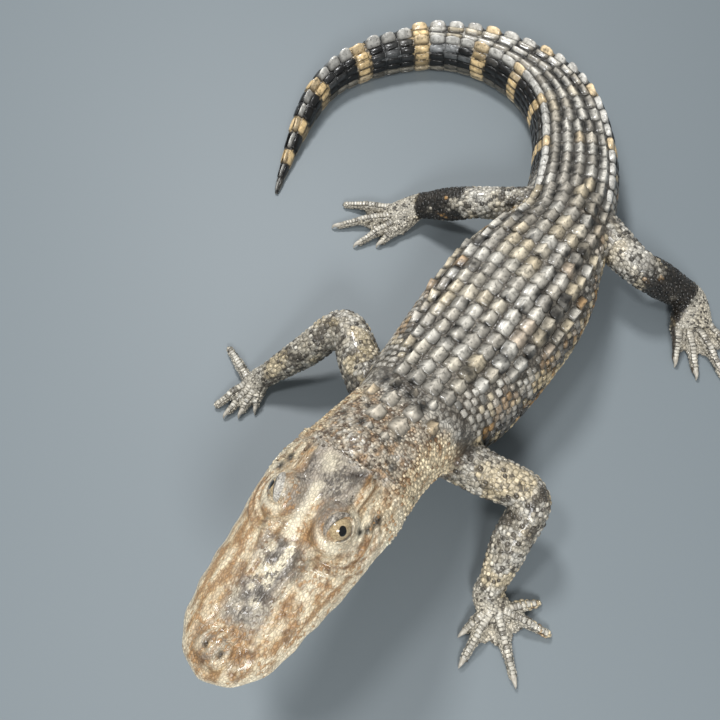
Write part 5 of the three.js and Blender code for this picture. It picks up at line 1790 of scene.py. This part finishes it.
def lids(side):
    # a shell over the ball with an almond opening, its rim rolled, its skirt running under the skin
    gaze, along, over = eyeAxes(side)
    centre = np.array([side * eye[side]["x"], eye["y"], eye["z"]])
    rings = []
    for row in range(lidSettings["rows"]):
        t = row / (lidSettings["rows"] - 1)
        ring = []
        for phi in np.linspace(0, 2 * np.pi, lidSettings["around"], endpoint=False):
            pinch = 1 - 0.10 * abs(math.cos(phi)) ** 6
            a0 = eye["long"] * math.cos(phi) * 1.0
            b0 = eye["high"] * math.sin(phi) * pinch * (eye[side]["lift"] if math.sin(phi) > 0 else 0.92)
            start = math.hypot(a0, b0)
            startAngle = math.asin(min(start / (eye["radius"] + 0.4), 0.98))
            theta = startAngle + (math.radians(96) - startAngle) * max(0.0, t - 0.12) / 0.88
            roll = math.sin(min(t / 0.24, 1) * math.pi / 2)
            radius = eye["radius"] - 0.5 + (lidSettings["thick"] + 0.5) * roll
            if t > 0.24:
                radius -= 1.3 * ((t - 0.24) / 0.76) ** 2
            ridge = 0.55 * math.exp(-(((t - 0.42) / 0.12) ** 2)) * max(0.0, math.sin(phi))
            direction = math.sin(theta) * (
                (a0 / max(start, 1e-6)) * along + (b0 / max(start, 1e-6)) * over
            ) + math.cos(theta) * gaze
            ring.append(centre + direction * (radius + ridge))
        rings.append(ring)
    points, faces = loft(np.array(rings))
    faces = faces[:-2 * lidSettings["around"]]
    name = "lids" + ("Right" if side > 0 else "Left")
    points = fromHead(points)
    mesh = meshOf(name, [(shifted(points) * mm, faces if side > 0 else [f[::-1] for f in faces])])
    return mesh, points


def lidTones(points, side):
    local = toHead(points)
    _, along, over = eyeAxes(side)
    offset = local - np.array([side * eye[side]["x"], eye["y"], eye["z"]])
    a, b = offset @ along, offset @ over
    reachOut = np.hypot(a / eye["long"], b / eye["high"])
    colour = mixed(plain("head", points), "headPale", smooth(noiseAt(points, 2.6, 50), 0.4, 0.7) * 0.8)
    upper = smooth(b + 1.2 * (noiseAt(points, 3.0, 53) - 0.5), 0.5, 3.0)
    colour = mixed(colour, "headGrey", upper * 0.9)
    # the right lid is the paler one
    lidPaleness = np.maximum(smooth(noiseAt(points, 3.0, 52), 0.45, 0.75), side)
    colour = mixed(colour, "scutePale", upper * lidPaleness * 0.6)
    colour = mixed(colour, "lip", (1 - smooth(reachOut, 1.05, 1.4)) * (1 - upper) * 0.9)
    colour = mixed(colour, "headDark", (1 - smooth(reachOut, 0.97, 1.04)) * 0.8)
    veins = mixed(plain("headBrown", points), "headSlate", upper)
    return colour, veins, 0.12 + 0.16 * smooth(reachOut, 1.1, 1.4) - 0.1 * upper * (side > 0)


def clawShapes(limb):
    plan = footPlan(limb)
    shapes = []
    for i in range(3):
        end, way, tip = plan["ends"][i], plan["ways"][i], plan["tips"][i]
        path = [end - way * 2.2 + [0, 0, 0.3], end + way * 1.5 + [0, 0, 1.0], end + way * 4.6 + [0, 0, 0.7],
                tip * [1, 1, 0] + [0, 0, 0.55]]
        rings = tube(path, [2.0, 1.75, 1.1, 0.3], 14, 6, 1.1)
        shapes.append(loft(rings))
    return shapes


def finish(piece, material, smoothly=True):
    piece.data.materials.clear()
    piece.data.materials.append(material)
    piece.data.polygons.foreach_set("use_smooth", [smoothly] * len(piece.data.polygons))
    piece.data.update()
    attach(piece, "root")


def newPiece(name, mesh):
    piece = bpy.data.objects.new(name, mesh)
    bpy.context.collection.objects.link(piece)
    return piece


# Putting it together

materials = {
    "hide": hideMaterial("wetKeratinHide", 0.36),
    "scute": scuteMaterial("hornCoveredScute", 0.6, 0.34),
    "eye": eyeMaterial(),
    "claw": clawMaterial(),
}


def dress(mesh, colour, veins, share, fine):
    paint(mesh, colour)
    paint(mesh, veins, "veins", share)
    layer = mesh.attributes.new("fine", "FLOAT", "POINT")
    layer.data.foreach_set("value", fine.astype(np.float32))


skin = makeSkin()
rowPoints = pointsOf(skin.data)
where = placesOf(rowPoints)
dress(skin.data, *markings(rowPoints, where), where["onHead"])
putPoints(skin.data, shifted(rowPoints) * mm)
finish(skin, materials["hide"])
print("skin: painted")

for piece in makeScales(skin, materials, where):
    finish(piece, materials["scute"])

for side, word in ((1, "Right"), (-1, "Left")):
    ball = newPiece("eye" + word, eyeball(side))
    finish(ball, materials["eye"])
    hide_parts("eye_" + word.lower())
    lidMesh, lidPoints = lids(side)
    dress(lidMesh, *lidTones(lidPoints, side), np.ones(len(lidPoints)))
    lid = newPiece("lids" + word, lidMesh)
    finish(lid, materials["hide"])

shapes = [(shifted(points) * mm, faces) for limb in limbs.values() for points, faces in clawShapes(limb)]
claws = newPiece("claws", meshOf("claws", shapes))
finish(claws, materials["claw"])
print("eyes, lids and claws made")

flesh = ["head", "lower_jaw", "ear_flap_left", "ear_flap_right", "neck", "torso"]
flesh += ["tail_" + str(i) for i in range(1, 6)]
for word in ("left", "right"):
    flesh += [part + "_" + word for part in ("upper_arm", "forearm", "hand", "thigh", "shank", "foot")]
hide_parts(*flesh)


# Floor, light and camera


room = {
    "floor": "7b8489", "halfWidth": 4, "air": "dfe3e6", "glow": 0.38,
    "lamps": [  # name, place, what it points at, size and power
        ("key", (-0.75, 0.55, 1.35), (0, 0, 0.03), 0.35, 16.5),
        ("window", (-0.28, -0.35, 1.26), (0.05, -0.22, 0.1), 0.26, 4.5),
        ("fill", (0.75, -0.9, 0.9), (0, -0.15, 0.08), 0.4, 11.5),
    ],
}


def makeFloor():
    material, tree = startMaterial("palePaintedFloor")
    shader = addNode(tree, "ShaderNodeBsdfPrincipled", {
        "Base Color": asColour(room["floor"]), "Roughness": 0.55,
    })
    addNode(tree, "ShaderNodeOutputMaterial", {"Surface": shader.outputs[0]})
    mesh = bpy.data.meshes.new("floor")
    far = room["halfWidth"]
    mesh.from_pydata([(-far, -far, 0), (far, -far, 0), (far, far, 0), (-far, far, 0)], [], [[0, 1, 2, 3]])
    floor = newPiece("floor", mesh)
    floor.data.materials.append(material)


def addLamp(name, place, target, size, power):
    lamp = bpy.data.lights.new(name, "AREA")
    lamp.shape = "DISK"
    lamp.size = size
    lamp.energy = power
    holder = bpy.data.objects.new(name, lamp)
    holder.location = place
    holder.rotation_euler = (Vector(target) - Vector(place)).to_track_quat("-Z", "Y").to_euler()
    bpy.context.collection.objects.link(holder)


makeFloor()
for lampSettings in room["lamps"]:
    addLamp(*lampSettings)
world = bpy.data.worlds.new("softRoom")
world.use_nodes = True
world.node_tree.nodes["Background"].inputs[0].default_value = asColour(room["air"])
world.node_tree.nodes["Background"].inputs[1].default_value = room["glow"]
bpy.context.scene.world = world
bpy.context.scene.view_settings.view_transform = "Standard"

lens = bpy.data.cameras.new("photoCamera")
lens.lens = photoView["lens"]
lens.sensor_width = photoView["sensor"]
camera = bpy.data.objects.new("photoCamera", lens)
right, up = Vector(photoView["right"]).normalized(), Vector(photoView["up"]).normalized()
turn = Matrix((right, up, right.cross(up))).transposed().to_4x4()
camera.matrix_world = Matrix.Translation(shifted(np.array(photoView["at"])) * mm) @ turn
bpy.context.collection.objects.link(camera)
bpy.context.scene.camera = camera
